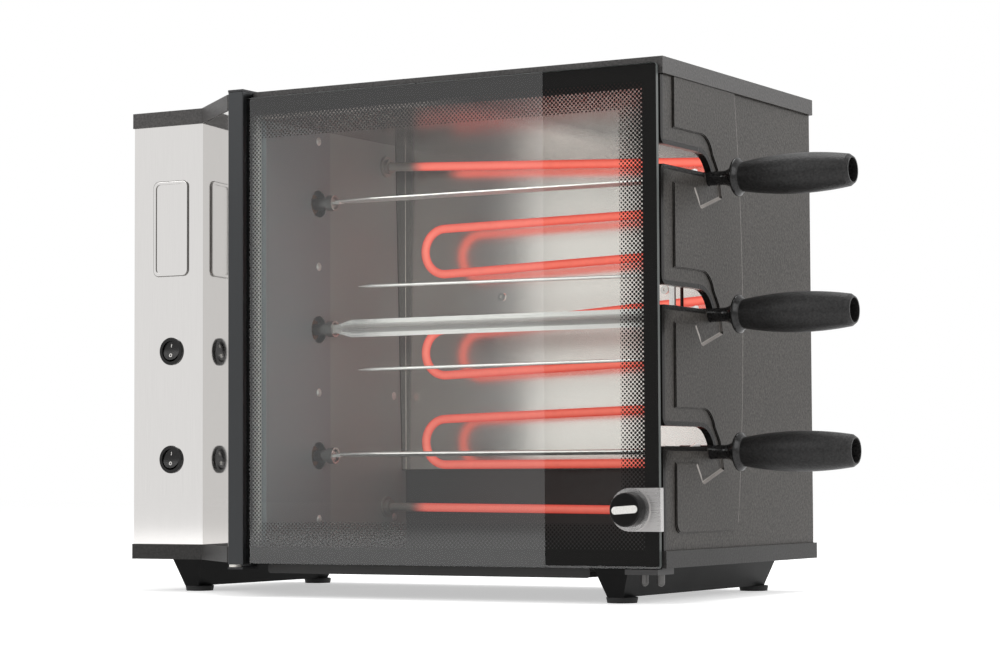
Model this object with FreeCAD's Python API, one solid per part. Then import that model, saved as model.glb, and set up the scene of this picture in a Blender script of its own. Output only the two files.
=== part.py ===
import FreeCAD, Part
import math
import os

# Electric skewer grill: a vertical cooking chamber behind a glass door, three
# horizontal skewers turned by a gear train in the housing on the left, and a
# serpentine heating element in front of a polished reflector.
#
# Working frame, in millimetres: x to the right, y to the back, z up, with the
# lower right front corner of the body at 0, 0, 0. export() moves every piece
# to the final frame: the middle of the whole grill's box, on the table.

Vec = FreeCAD.Vector

# ---------------------------------------------------------------- driving sizes

# Body
BODY_W = 588.0            # width of the covers
BODY_D = 311.0            # depth of the covers
BODY_H = 420.0            # height from base bottom to lid top
SHEET = 0.8               # painted steel sheet
COLUMN_SHEET = 0.8        # stainless sheet
PANEL_GAP = 0.4           # between a cover's skirt and the panel inside it
SKIRT = 14.0              # height of the lid's and the base's skirt
SETBACK = 60.0            # column front behind the door plane
COLUMN_W = 80.0           # width of the column's front face
FRONT_W = 436.5           # right side to the start of the slanted face
FOLD = 12.0               # hidden flanges of the panels
INSET = SHEET + PANEL_GAP # panels' outer faces inside the skirts
PANEL_LOW = SHEET
PANEL_TOP = BODY_H - SHEET

# Column: badge and switches, measured from the body's left side
BADGE_FROM_LEFT = 44.0
BADGE_W = 40.0
BADGE_H = 90.0
BADGE_DOWN = 111.0        # badge's middle under the lid's top
BADGE_RISE = 1.6
BADGE_CORNER = 6.0
BADGE_EDGE = 1.0          # rounding of the badge's rim
BADGE_RIM = 3.2           # width of the rim round the sunk field
BADGE_SINK = 0.9
SWITCH_FROM_LEFT = 44.8
SWITCH_LOW = 92.8
SWITCH_PITCH = 101.0
SWITCH_HOLE_R = 11.0
BEZEL_R = 13.0
BEZEL_RISE = 2.0
BARREL_DEPTH = 18.0
ROCKER_R = 8.9
ROCKER_CLEAR = 0.8
ROCKER_TILT = 9.0         # degrees
ROCKER_PIVOT_R = 1.2
ROCKER_PIVOT_IN = 3.0     # pivot behind the column's face
ROCKER_RISE = 1.6
ROCKER_DEPTH = 5.0
ROCKER_DISH_R = 40.0
LUG_W = 6.4
LUG_T = 0.8
LUG_REACH = 8.0
LUG_OUT = 5.0             # lugs' middles from the switch's middle

# Chamber
WALL_FROM_FRONT_W = 36.5  # left inner wall, right of the slanted face's start
WALL_LIP = 8.0            # wall's front lip, between its face and the jamb
WALL_HOLE_R = 12.5        # hole round each drive socket
REFLECTOR_FROM_BACK = 66.5
REFLECTOR_LOW = 82.0      # lower edge of the reflector
REFLECTOR_T = 0.8
RETURN_TOP = 17.0         # depth of the reflector's side returns at the top
RETURN_LOW = 6.5          # and at the bottom
CEILING_DROP = 25.0       # ceiling liner under the lid's top
SCREW_R = 2.0
SCREW_CLEAR = 0.05
SCREW_HEAD_R = 3.9
SCREW_DEPTH = 6.0
SMALL_HEAD_R = 1.9        # screws in the jamb
JAMB_SCREW_IN = 5.0       # jamb screws from the jamb's right edge
JAMB_SCREW_END = 37.0     # outer jamb screws from the body's ends
REAR_SCREW_Y = 224.0
RIVET_R = 3.9
RIVET_T = 1.2
RIVET_EYE_R = 1.4
RIVET_OUT = 86.0          # rivets either side of the reflector's middle
RIVET_DOWN = 149.2        # rivets under the ceiling
COVER_SCREW_R = 3.6
COVER_SCREW_END = 30.0    # outer screws from the body's sides
COVER_SCREWS = 4          # in each of two rows

# Right panel and skewer slots
PANEL_FRONT_FLANGE = 6.5  # inward flange along the right panel's front edge
NECK_R = 6.0
SEAT_CLEAR = 0.3
SLOT_LIP = 4.5            # slot's lower lip over the seat centre
SLOT_TOP = 21.0           # slot's upper edge over the seat centre
SLOT_SWEEP = 28.0         # radius of the slot's rear edge
SLOT_MOUTH_UPPER = 8.0    # corner radius of the mouth, upper
SLOT_MOUTH_LOWER = 5.0    # corner radius of the mouth, lower
SLOT_RIM = 6.0            # depth of the rim folded inwards
FIELD_RISE = 1.8          # height of the pressed field
FIELD_FRONT = 23.0
FIELD_REAR = 143.0
FIELD_BOW = 14.0          # how far the rear crease bows backwards
FIELD_LOW = 28.0
FIELD_TOP_GAP = 11.0      # field's upper edge under the lid's top
FIELD_CORNER = 8.0
CUT_PAST = 1.0            # a cutting shape past the surface that it cuts
FIELD_SLOPE = 1.6         # how far the pressed edge leans in
BORDER_Y = 76.0           # start of the border's bend over a slot
BORDER_UP = 36.0          # border's upper edge over the seat centre
BORDER_DOWN = 9.0         # border's lower edge under the seat centre
BORDER_BEND = 23.0
BORDER_TURN = 20.0        # degrees
BORDER_NECK = (107.5, 8.8)       # y and height over the seat centre: end of the straight
BORDER_REAR = (114.5, -14.2)     # rear corner of the pocket under the seat
BORDER_FOOT = (74.0, -26.3)      # its lowest corner
BORDER_HEEL_Y = 66.0
REST_T = 1.2
REST_HUMP = 7.5           # hump's height over the seat centre
REST_HUMP_Y = 82.0
REST_HUMP_FLAT = 5.0
REST_HUMP_FOOT = 16.0
REST_FRONT = 12.0
REST_REAR = 122.0
REST_MARGIN = 40.0        # strip past the outer seats
REST_TOP_GAP = 6.0        # strip's cut-out over the slot's upper edge

# Skewers
SKEWER_Y = 94.0
DRIVE_LOW = 37.2          # lowest wall screw over the base bottom
DRIVE_TOP_GAP = 34.8      # highest wall screw under the lid's top
SINGLE_W = 12.0
SINGLE_DEPTH = 3.0
MIDDLE_W = 16.0
MIDDLE_DEPTH = 5.8
MIDDLE_FLAT = 4.4         # flat band on either side of the middle blade's groove
BLADE_T = 1.2
BLADE_ANGLES = (5.0, -90.0, 5.0)  # each blade's width from level, degrees
SINGLE_TAPER = 40.0
MIDDLE_TAPER = 14.0
CORE_R = 4.0              # round core of a skewer inside its handle
CORE_CLEAR = 0.02
CORE_PAST_WAIST = 1.5     # bore's end past the grip's waist
TANG_W = 7.8
TANG_T = 2.4
TANG_IN = 14.0            # how far a tang sits in its socket
TANG_CLEAR = 0.2
PRONG_SPREAD_TIP = 38.0
PRONG_SPREAD_ROOT = 36.0
PRONG_R = 1.5
PRONG_POINT = 14.0
PRONG_POINT_R = 0.25
PRONG_TIP_FROM_WALL = 43.0
CROSSBAR_X = -38.5
CROSSBAR_W = 5.0
CROSSBAR_T = 3.0
CLASP_T = 1.5             # band that holds the crossbar on the blade
HANDLE_END = 128.0        # outer end of the handles from the right side
HANDLE_NECK_IN = 32.0     # inner end of the neck, past the rest by more than the pull
NECK_END = 10.0
FLARE_X = 20.0
FLARE_R = 11.0
COLLAR_X = 22.5
COLLAR_T = 3.0
COLLAR_R = 16.5
COLLAR_ROUND = 0.8
WAIST_X = 28.5
WAIST_R = 12.4
GRIP_X = 86.0
GRIP_R = 17.0
GRIP_END_R = 13.6
GRIP_LIP_R = 11.4
GRIP_HOLLOW_R = 10.2
GRIP_HOLLOW_END_R = 9.6
GRIP_HOLLOW_DEPTH = 14.0

# Door
GLASS_T = 4.0
GLASS_FRONT = 5.5         # glass front ahead of the door plane
GLASS_RIGHT = 3.5         # glass edge inside the right side
GLASS_LOW = -0.3          # lower edge of the glass
GLASS_DOWN = 5.6          # upper edge of the glass under the lid's top
GLASS_CORNER = 3.0
GLASS_GROOVE = 7.5        # glass edge inside the stile
STILE_W = 16.0
STILE_WALL = 1.6
STILE_FROM_FRONT_W = 25.0 # stile's right face, right of the slanted face's start
STILE_FRONT = 11.4
STILE_LOW = -1.3
STILE_DOWN = 0.3          # stile's top under the lid's top
STILE_EDGE = 1.0
CAP_DEPTH = 14.0
HINGE_IN = 11.0           # hinge axis from the stile's right face
HINGE_Y = 6.7
PIN_R = 2.45
PIN_CLEAR = 0.05
PIN_SHORT = 3.0           # cap's depth past the end of a hinge pin
NOTCH_CLEAR = 1.5
NOTCH_RIGHT_CLEAR = 3.9
NOTCH_DEEP = 1.9          # notch behind the stile
WASHER_GAP = 0.1
WASHER_R = 5.5
WASHER_T = 2.2
HINGE_PLATE_T = 2.0
HINGE_PLATE_REAR = 30.0
HINGE_FOOT = 24.0
HINGE_STEP_GAP = 4.0
KNOB_R = 14.6
KNOB_DEPTH = 10.0
KNOB_DRAFT = 0.7
KNOB_EDGE = 1.2
KNOB_Z = 47.7
KNOB_SCREW_R = 2.0
KNOB_SCREW_IN = 4.5       # screw's end behind the knob's face
KNOB_HEAD_R = 3.6
KNOB_HEAD_T = 2.0
KNOB_HOLE_CLEAR = 0.2
KNOB_GLASS_CLEAR = 1.0
BRACKET_H = 35.6
BRACKET_T = 1.0
BRACKET_REACH = 29.0      # knob axis from the right side
BRACKET_EDGE_GAP = 0.6
BRACKET_REAR_T = 0.8
BRACKET_REAR_W = 12.0
DISC_T = 1.5
CATCH_X = -20.0
CATCH_W = 30.0
CATCH_FRONT = -6.0
CATCH_REAR = 24.0
CATCH_LOW = -5.4
CATCH_STEP_Y = 2.0
CATCH_STEP_Z = -1.0
CATCH_STUD_R = 3.0
CATCH_STUD_L = 10.0
CATCH_STUD_Y = 15.3
CATCH_STUD_OUT = 7.5

# Heating element
TUBE_R = 4.0
ELEMENT_AHEAD = 34.5      # element ahead of the reflector
BEND_R = 21.5
BEND_LEFT_IN = 66.0       # left bends' middles from the inner wall
BEND_RIGHT_X = 60.0
# Heights as shares of the chamber's height
LEFT_BENDS = (0.7304, 0.4878, 0.2744)
RIGHT_BENDS = (0.8486, 0.6438, 0.4018, 0.1653)
COLD_END_TOP = 0.9438
COLD_END_LOW = 0.1195
COLD_TAIL = 26.0
ELEMENT_HOLE_R = 7.0
GLAND_NUT_R = 10.5
GLAND_NUT_T = 5.0
GLAND_FLANGE_R = 10.0
GLAND_FLANGE_T = 2.0
GLAND_THREAD_CLEAR = 0.1
GLAND_OUT = 6.0           # thread's end in the chamber
GLAND_IN = 12.0           # thread's end behind the wall
TUBE_CLEAR = 0.5
STAY_X = -83.0            # wire stay over the element's middle legs
STAY_R = 1.5
STAY_GAP = 0.1
STAY_BEND = 5.0
STAY_PAST = 11.0          # stay's ends past the outer of its legs

# Feet and tray
FOOT_H = 30.0
PAD_H = 5.0
PAD_R = 13.5
PAD_TAPER = 1.0
PAD_EDGE = 0.8
PAD_INSET_FRONT = 20.0
PAD_INSET_REAR = 14.0
RAIL_TOP_W = 33.0
RAIL_LOW_W = 14.5
RAIL_SLANT = 7.0
RAIL_WALL = 1.5
RAIL_X = 55.0             # rail centre from either side of the body
RAIL_FRONT_RIGHT = 8.0
RAIL_FRONT_LEFT = 72.0
RAIL_REAR_GAP = 5.0
TRAY_LEFT_IN = 4.0        # tray's left side from the inner wall
TRAY_RIGHT = 86.0
TRAY_FRONT = 17.0
WINDOW_REAR_GAP = 3.0     # base window's rear edge to the chamber's back
TRAY_DEPTH = 8.3
TRAY_DROP = 1.2           # tray's top under the base bottom
TRAY_OVERHANG = 7.0       # front plate past the tray's side
TRAY_CORNER = 3.0
TRAY_SHEET = 1.0
TRAY_LIP = 4.0
LIP_DROP = 1.2            # tray's lip under its front plate's top
RUNNER_CLEAR = 0.4
LIP_CLEAR = 0.3
RUNNER_FRONT_GAP = 2.0
RUNNER_REAR_GAP = 4.0

# Drive housing
GEAR_TEETH = 29           # spindle gears and idlers alike
PINION_TEETH = 14
GEAR_T = 8.0
GEAR_FLOAT = 0.16         # backlash
TIP_SHARE = 0.95          # tooth tip over the pitch circle, in modules
ROOT_SHARE = 1.25
PRESSURE = 20.0           # degrees
ROOT_STEP = 0.2
HUB_R = 8.0
GROOVE_R = 10.0
GROOVE_DEPTH = 2.5
GROOVE_RING = 6.0
FRONT_PLATE_GAP = 6.0     # front gear plate behind the inner wall
GEAR_GAP = 3.0            # gears behind the front plate
REAR_PLATE_GAP = 6.0      # gears to the rear plate
HUB_FLOAT = 0.3           # end float of a hub between the plates
GEAR_PLATE_T = 1.5
PLATE_SIDE = 14.0         # plates past the outer posts
PLATE_END = 10.0
SHAFT_R = 4.0
SHAFT_CLEAR = 0.02        # pressed-on wheels
SHAFT_TAIL = 4.0
SOCKET_REACH = 18.0       # socket's open end from the inner wall
SOCKET_R = 7.4
SOCKET_NECK_R = 5.3
SOCKET_HEAD = 7.0
SOCKET_STEP = 1.5
SOCKET_MOUTH_R = 6.0
SOCKET_MOUTH_DEPTH = 2.0
SOCKET_BOTTOM_R = 4.4
BUSH_R = 7.0
BUSH_RIM = 2.0
BUSH_FLANGE_T = 1.5
BUSH_MIDDLE_IN = 3.0      # bushing's middle behind the wall
POST_R = 3.2
POST_CLEAR = 0.02
POST_SLEEVE = 2.0
POST_HEAD_T = 2.5
POST_REAR_Y = 160.0
IDLER_PIN_R = 4.0
IDLER_HEAD_R = 7.0
GEARBOX_R = 30.0
GEARBOX_T = 24.0
MOTOR_R = 27.0
MOTOR_L = 22.0
MOTOR_COLLAR_R = 5.9
MOTOR_COLLAR_CLEAR = 0.1
MOTOR_SHAFT_R = 3.5
MOTOR_SHAFT_IN = 9.5
MOTOR_BORE_IN = 10.0
SHAFT_HOLE_CLEAR = 1.0
PINION_OUT = 2.0

# Back panel: vents, cord gland and terminals, measured from the body's left side
VENT_ROWS = 9
VENT_PITCH = 14.0
VENT_DOWN = 58.0          # highest vent under the lid's top
VENT_W = 90.0
VENT_H = 4.0
VENT_FROM_LEFT = 88.0
GLAND_FROM_LEFT = 48.0
GLAND_Z = 45.0
GLAND_R = 8.0
GLAND_REACH = 9.0         # gland past the back panel
GLAND_BORE_R = 3.6
GLAND_RIM = 2.5
GLAND_CLEAR = 0.1
GLAND_INSIDE = 6.2          # thread inside the back panel
TERMINALS = 5
TERMINAL_PITCH = 12.0
TERMINAL_SIZE = 18.0
TERMINAL_FROM_LEFT = 28.0
TERMINAL_Z = 70.0
TERMINAL_HOLE_R = 3.0
TERMINAL_HOLE_DEPTH = 6.0
TERMINAL_FOOT = 6.0
TERMINAL_FOOT_Z = 4.0
TERMINAL_FOOT_T = 6.0

# ---------------------------------------------------------------- shared places

# Heights
CEILING_Z = BODY_H - CEILING_DROP
SKEWER_PITCH = (BODY_H - DRIVE_LOW - DRIVE_TOP_GAP) / 3.0
SKEWER_LOW = DRIVE_LOW + SKEWER_PITCH / 2.0
SKEWER_Z = [SKEWER_LOW + SKEWER_PITCH * i for i in range(3)]
WALL_SCREW_Z = [DRIVE_LOW + SKEWER_PITCH * i for i in range(4)]
IDLER_Z = WALL_SCREW_Z[1:3]
SWITCH_Z = (SWITCH_LOW, SWITCH_LOW + SWITCH_PITCH)
BADGE_Z = BODY_H - BADGE_DOWN
GLASS_H = BODY_H - GLASS_DOWN
STILE_TOP = BODY_H - STILE_DOWN
PIN_IN = CAP_DEPTH - PIN_SHORT
LOW_PLATE_Z = STILE_LOW - WASHER_GAP - WASHER_T
JAMB_SCREW_Z = (JAMB_SCREW_END, BODY_H / 2.0, BODY_H - JAMB_SCREW_END)

# Left to right: the chamber's left wall and the stile go with the slanted face
WALL_X = FRONT_W - WALL_FROM_FRONT_W
STILE_RIGHT = FRONT_W - STILE_FROM_FRONT_W
STILE_LEFT = STILE_RIGHT + STILE_W
HINGE_X = STILE_RIGHT + HINGE_IN
NOTCH_LEFT = STILE_LEFT + NOTCH_CLEAR
NOTCH_RIGHT = STILE_RIGHT - NOTCH_RIGHT_CLEAR
BEND_LEFT_X = WALL_X - BEND_LEFT_IN
BUSH_MIDDLE_X = -WALL_X - BUSH_MIDDLE_IN
JAMB_END = -WALL_X - WALL_LIP
JAMB_SCREW_X = JAMB_END - JAMB_SCREW_IN
TRAY_LEFT = WALL_X - TRAY_LEFT_IN
RIGHT_INSET = INSET + FIELD_RISE   # right panel's sheet; its pressed field is at INSET
CHAMBER_RIGHT = RIGHT_INSET + SLOT_RIM + REST_T + 1.0
FRONT_PLATE_X = -(WALL_X + SHEET + FRONT_PLATE_GAP)         # right face of the front plate
GEAR_X = FRONT_PLATE_X - GEAR_PLATE_T - GEAR_GAP            # right face of every gear
PLATE_X = GEAR_X - GEAR_T - REAR_PLATE_GAP                  # right face of the rear plate
SOCKET_X = -(WALL_X - SOCKET_REACH)            # open end of the sockets
BADGE_X = BADGE_FROM_LEFT - BODY_W
SWITCH_X = SWITCH_FROM_LEFT - BODY_W
VENT_X = VENT_FROM_LEFT - BODY_W
GLAND_X = GLAND_FROM_LEFT - BODY_W
TERMINAL_X = TERMINAL_FROM_LEFT - BODY_W
CENTRE_X = (HANDLE_END - BODY_W) / 2.0

# Front to back
STILE_BACK = STILE_W - STILE_FRONT
NOTCH_BACK = STILE_BACK + NOTCH_DEEP
JAMB_Y = NOTCH_BACK + INSET
WALL_FRONT = JAMB_Y + COLUMN_SHEET + PANEL_GAP / 2.0
REFLECTOR_Y = BODY_D - REFLECTOR_FROM_BACK
ELEMENT_Y = REFLECTOR_Y - ELEMENT_AHEAD
CHAMBER_BACK_Y = REFLECTOR_Y + REFLECTOR_T
TRAY_REAR = CHAMBER_BACK_Y - WINDOW_REAR_GAP + FOLD
RAIL_REAR = BODY_D - RAIL_REAR_GAP
KNOB_FRONT = GLASS_FRONT + BRACKET_T + DISC_T + KNOB_DEPTH
CENTRE_Y = (BODY_D + GLAND_REACH - INSET - KNOB_FRONT) / 2.0

# Seats, gears and the element's bends
SEAT_R = NECK_R + SEAT_CLEAR
GEAR_CENTRES = SKEWER_PITCH / 2.0
GEAR_MODULE = GEAR_CENTRES / GEAR_TEETH
PINION_CENTRES = GEAR_MODULE * (GEAR_TEETH + PINION_TEETH) / 2.0
PINION_Y = SKEWER_Y + PINION_CENTRES
LEFT_BENDS_Z = [share * CEILING_Z for share in LEFT_BENDS]
RIGHT_BENDS_Z = [share * CEILING_Z for share in RIGHT_BENDS]
COLD_END_TOP_Z = COLD_END_TOP * CEILING_Z
COLD_END_LOW_Z = COLD_END_LOW * CEILING_Z


# ---------------------------------------------------------------- small helpers

def box(x0, x1, y0, y1, z0, z1):
    low = Vec(min(x0, x1), min(y0, y1), min(z0, z1))
    return Part.makeBox(abs(x1 - x0), abs(y1 - y0), abs(z1 - z0), low)


def rod_x(x0, x1, y, z, radius):
    return Part.makeCylinder(radius, x1 - x0, Vec(x0, y, z), Vec(1, 0, 0))


def rod_y(x, y0, y1, z, radius):
    return Part.makeCylinder(radius, y1 - y0, Vec(x, y0, z), Vec(0, 1, 0))


def rod_z(x, y, z0, z1, radius):
    return Part.makeCylinder(radius, z1 - z0, Vec(x, y, z0), Vec(0, 0, 1))


def tube_x(x0, x1, y, z, outer, inner):
    return rod_x(x0, x1, y, z, outer).cut(rod_x(x0, x1, y, z, inner))


def polygon(points):
    return Part.Face(Part.makePolygon(points + [points[0]]))


def plate_yz(points, x0, x1):
    face = polygon([Vec(x0, y, z) for y, z in points])
    return face.extrude(Vec(x1 - x0, 0, 0))


def fused(shapes):
    if len(shapes) == 1:
        return shapes[0]
    return shapes[0].multiFuse(shapes[1:]).removeSplitter()


def revolved_x(points, y, z):
    """A solid of revolution about an axis along x, from (x, radius) points."""
    outline = polygon([Vec(x, y, z + radius) for x, radius in points])
    return outline.revolve(Vec(0, y, z), Vec(1, 0, 0), 360)


def line(a, b):
    return Part.LineSegment(a, b).toShape()


def arc(a, middle, b):
    return Part.Arc(a, middle, b).toShape()


def edges_along(shape, axis):
    """Straight edges of a shape that run along x, y or z (0, 1 or 2)."""
    return [e for e in shape.Edges if abs(e.tangentAt(e.FirstParameter)[axis]) > 0.99]


def slot_box(x, y0, y1, z, width, height):
    """A cutter along y with rounded ends, long side along x."""
    half = (width - height) / 2.0
    middle = box(x - half, x + half, y0, y1, z - height / 2.0, z + height / 2.0)
    ends = [rod_y(x + side * half, y0, y1, z, height / 2.0) for side in (-1, 1)]
    return fused([middle] + ends)


def pan_head_x(x, y, z, radius, side):
    """A domed screw head on a face square to x, standing out towards side."""
    rise = radius * 0.45
    ball_r = (radius ** 2 + rise ** 2) / (2.0 * rise)
    ball = Part.makeSphere(ball_r, Vec(x + side * (rise - ball_r), y, z))
    keep = rod_x(min(x, x + side * rise), max(x, x + side * rise), y, z, radius)
    recess = rod_x(x + side * rise - rise / 2.0, x + side * rise + rise / 2.0, y, z,
                   radius * 0.35)
    return ball.common(keep).cut(recess)


def pan_head_y(x, y, z, radius, side):
    head = pan_head_x(0, 0, 0, radius, side)
    head.rotate(Vec(0, 0, 0), Vec(0, 0, 1), 90)
    head.translate(Vec(x, y, z))
    return head


def export(name, shapes):
    if not isinstance(shapes, list):
        shapes = [shapes]
    placed = []
    for shape in shapes:
        for solid in shape.Solids:
            piece = solid.copy()
            piece.translate(Vec(-CENTRE_X, -CENTRE_Y, FOOT_H))
            placed.append(piece)
    whole = placed[0] if len(placed) == 1 else Part.makeCompound(placed)
    whole.exportStep("parts/" + name + ".step")


# ---------------------------------------------------------------- covers

def body_outline():
    """Plan of the lid and the base, with the notch for the door's stile."""
    return [
        (0, 0),
        (0, BODY_D),
        (-BODY_W, BODY_D),
        (-BODY_W, SETBACK),
        (-BODY_W + COLUMN_W, SETBACK),
        (-FRONT_W, 0),
        (-NOTCH_LEFT, 0),
        (-NOTCH_LEFT, NOTCH_BACK),
        (-NOTCH_RIGHT, NOTCH_BACK),
        (-NOTCH_RIGHT, 0),
    ]


def plan_prism(inset, z0, z1):
    face = polygon([Vec(x, y, z0) for x, y in body_outline()])
    if inset:
        face = face.makeOffset2D(-inset, 2)
    return face.extrude(Vec(0, 0, z1 - z0))


def top_cover():
    outer = plan_prism(0, BODY_H - SKIRT, BODY_H)
    inner = plan_prism(SHEET, BODY_H - SKIRT, BODY_H - SHEET)
    return outer.cut(inner)


def base_pan():
    outer = plan_prism(0, 0, SKIRT)
    inner = plan_prism(SHEET, SHEET, SKIRT)
    window = box(-TRAY_LEFT + FOLD, -TRAY_RIGHT - FOLD, TRAY_FRONT + FOLD,
                 TRAY_REAR - FOLD, -SHEET, 2 * SHEET)
    return outer.cut(inner).cut(window)


def left_side_panel():
    x = -BODY_W + INSET
    front = SETBACK + INSET + COLUMN_SHEET
    back = BODY_D - INSET
    side = box(x, x + SHEET, front, back, PANEL_LOW, PANEL_TOP)
    rear_lip = box(x, x + FOLD, back - 2 * SHEET, back - SHEET, PANEL_LOW, PANEL_TOP)
    front_lip = box(x, x + FOLD, front, front + SHEET, PANEL_LOW, PANEL_TOP)
    return fused([side, rear_lip, front_lip])


def back_panel():
    y = BODY_D - INSET
    left = -BODY_W + INSET + SHEET
    right = -RIGHT_INSET - SHEET - PANEL_GAP
    panel = box(left, right, y - SHEET, y, PANEL_LOW, PANEL_TOP)
    holes = [slot_box(VENT_X, y - FOLD, y + FOLD, BODY_H - VENT_DOWN - VENT_PITCH * row,
                      VENT_W, VENT_H) for row in range(VENT_ROWS)]
    holes.append(rod_y(GLAND_X, y - FOLD, y + FOLD, GLAND_Z, GLAND_R))
    return panel.cut(fused(holes))


def badge_plate(y):
    """Bare raised plate with a rounded rim round a sunk field, on a face at y."""
    half_w = BADGE_W / 2.0
    half_h = BADGE_H / 2.0
    plate = box(BADGE_X - half_w, BADGE_X + half_w, y - BADGE_RISE, y + COLUMN_SHEET,
                BADGE_Z - half_h, BADGE_Z + half_h)
    plate = plate.makeFillet(BADGE_CORNER, edges_along(plate, 1))
    rim = [e for e in plate.Edges if e.BoundBox.YMax < y - BADGE_RISE / 2.0]
    plate = plate.makeFillet(BADGE_EDGE, rim)
    inner_w = half_w - BADGE_RIM
    inner_h = half_h - BADGE_RIM
    field = box(BADGE_X - inner_w, BADGE_X + inner_w, y - 2 * BADGE_RISE,
                y - BADGE_RISE + BADGE_SINK, BADGE_Z - inner_h, BADGE_Z + inner_h)
    field = field.makeFillet(BADGE_CORNER - BADGE_RIM / 2.0, edges_along(field, 1))
    return plate.cut(field)


def control_panel():
    """Folded stainless sheet: column front with badge, slanted face, pocket and jamb."""
    outside = plan_prism(INSET, PANEL_LOW, PANEL_TOP)
    inside = plan_prism(INSET + COLUMN_SHEET, PANEL_LOW, PANEL_TOP)
    keep = box(-BODY_W, -NOTCH_LEFT, -1, SETBACK + INSET + COLUMN_SHEET, 0, BODY_H)
    sheet = outside.cut(inside).common(keep)
    pocket_x = -NOTCH_LEFT - INSET
    jamb = box(pocket_x - COLUMN_SHEET, JAMB_END, JAMB_Y, JAMB_Y + COLUMN_SHEET,
               PANEL_LOW, PANEL_TOP)
    side = box(pocket_x - COLUMN_SHEET, pocket_x, INSET, JAMB_Y + COLUMN_SHEET,
               PANEL_LOW, PANEL_TOP)
    front_y = SETBACK + INSET
    sheet = fused([sheet, jamb, side, badge_plate(front_y)])
    sheet = sheet.cut(box(-NOTCH_LEFT, -NOTCH_RIGHT + STILE_W, -1, JAMB_Y, 0, BODY_H))
    holes = [rod_y(SWITCH_X, front_y - FOLD, front_y + FOLD, z, SWITCH_HOLE_R)
             for z in SWITCH_Z]
    holes += [rod_y(JAMB_SCREW_X, JAMB_Y - 1, JAMB_Y + FOLD, z, SCREW_R / 2.0)
              for z in JAMB_SCREW_Z]
    return sheet.cut(fused(holes))


# ---------------------------------------------------------------- right panel

def slot_wire(z_seat, x):
    """The skewer slot's edge, from its mouth at the front to the round seat."""
    y_front = INSET
    y_open = -FOLD
    y_lip = SKEWER_Y - SEAT_R - SLOT_LIP
    drop = SLOT_SWEEP - SLOT_TOP
    reach = SLOT_SWEEP - SEAT_R
    run = math.sqrt(reach ** 2 - drop ** 2)
    y_sweep = SKEWER_Y - run
    z_sweep = z_seat - drop
    touch = Vec(x, y_sweep + SLOT_SWEEP * run / reach, z_sweep + SLOT_SWEEP * drop / reach)
    half_turn = (math.atan2(drop, run) + math.pi / 2.0) / 2.0
    on_sweep = Vec(x, y_sweep + SLOT_SWEEP * math.cos(half_turn),
                   z_sweep + SLOT_SWEEP * math.sin(half_turn))
    z_top = z_seat + SLOT_TOP
    z_lip = z_seat + SLOT_LIP
    upper = SLOT_MOUTH_UPPER
    lower = SLOT_MOUTH_LOWER
    diagonal = math.sqrt(0.5)
    bite = 1.0 - diagonal
    seat_left = Vec(x, SKEWER_Y - SEAT_R, z_seat)
    seat_low = Vec(x, SKEWER_Y, z_seat - SEAT_R)
    top_rear = Vec(x, y_sweep, z_top)
    top_front = Vec(x, y_front + upper, z_top)
    mouth_top = Vec(x, y_front, z_top + upper)
    open_top = Vec(x, y_open, z_top + upper)
    open_low = Vec(x, y_open, z_lip - lower)
    mouth_low = Vec(x, y_front, z_lip - lower)
    lip_front = Vec(x, y_front + lower, z_lip)
    lip_rear = Vec(x, y_lip, z_lip)
    lip_bend = Vec(x, y_lip + SLOT_LIP * diagonal, z_seat + SLOT_LIP * diagonal)
    return Part.Wire([
        line(open_low, mouth_low),
        arc(mouth_low, Vec(x, y_front + lower * bite, z_lip - lower * bite), lip_front),
        line(lip_front, lip_rear),
        arc(lip_rear, lip_bend, seat_left),
        arc(seat_left, seat_low, touch),
        arc(touch, on_sweep, top_rear),
        line(top_rear, top_front),
        arc(top_front, Vec(x, y_front + upper * bite, z_top + upper * bite), mouth_top),
        line(mouth_top, open_top),
        line(open_top, open_low),
    ])


def slot_border(z_seat, x):
    """Edge of the pressed field where it goes round a slot and its seat."""
    z_low = z_seat - BORDER_DOWN
    z_high = z_seat + BORDER_UP
    z_middle = z_high - BORDER_BEND
    turn = math.radians(BORDER_TURN)
    halfway = (turn + math.pi / 2.0) / 2.0

    def on_bend(angle):
        return Vec(x, BORDER_Y + BORDER_BEND * math.cos(angle),
                   z_middle + BORDER_BEND * math.sin(angle))

    corners = [on_bend(turn)]
    corners += [Vec(x, y, z_seat + up) for y, up in (BORDER_NECK, BORDER_REAR, BORDER_FOOT)]
    corners += [Vec(x, BORDER_HEEL_Y, z_low), Vec(x, 0, z_low), Vec(x, 0, z_high),
                Vec(x, BORDER_Y, z_high)]
    edges = [line(a, b) for a, b in zip(corners, corners[1:])]
    edges.append(arc(corners[-1], on_bend(halfway), corners[0]))
    return Part.Wire(edges)


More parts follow.
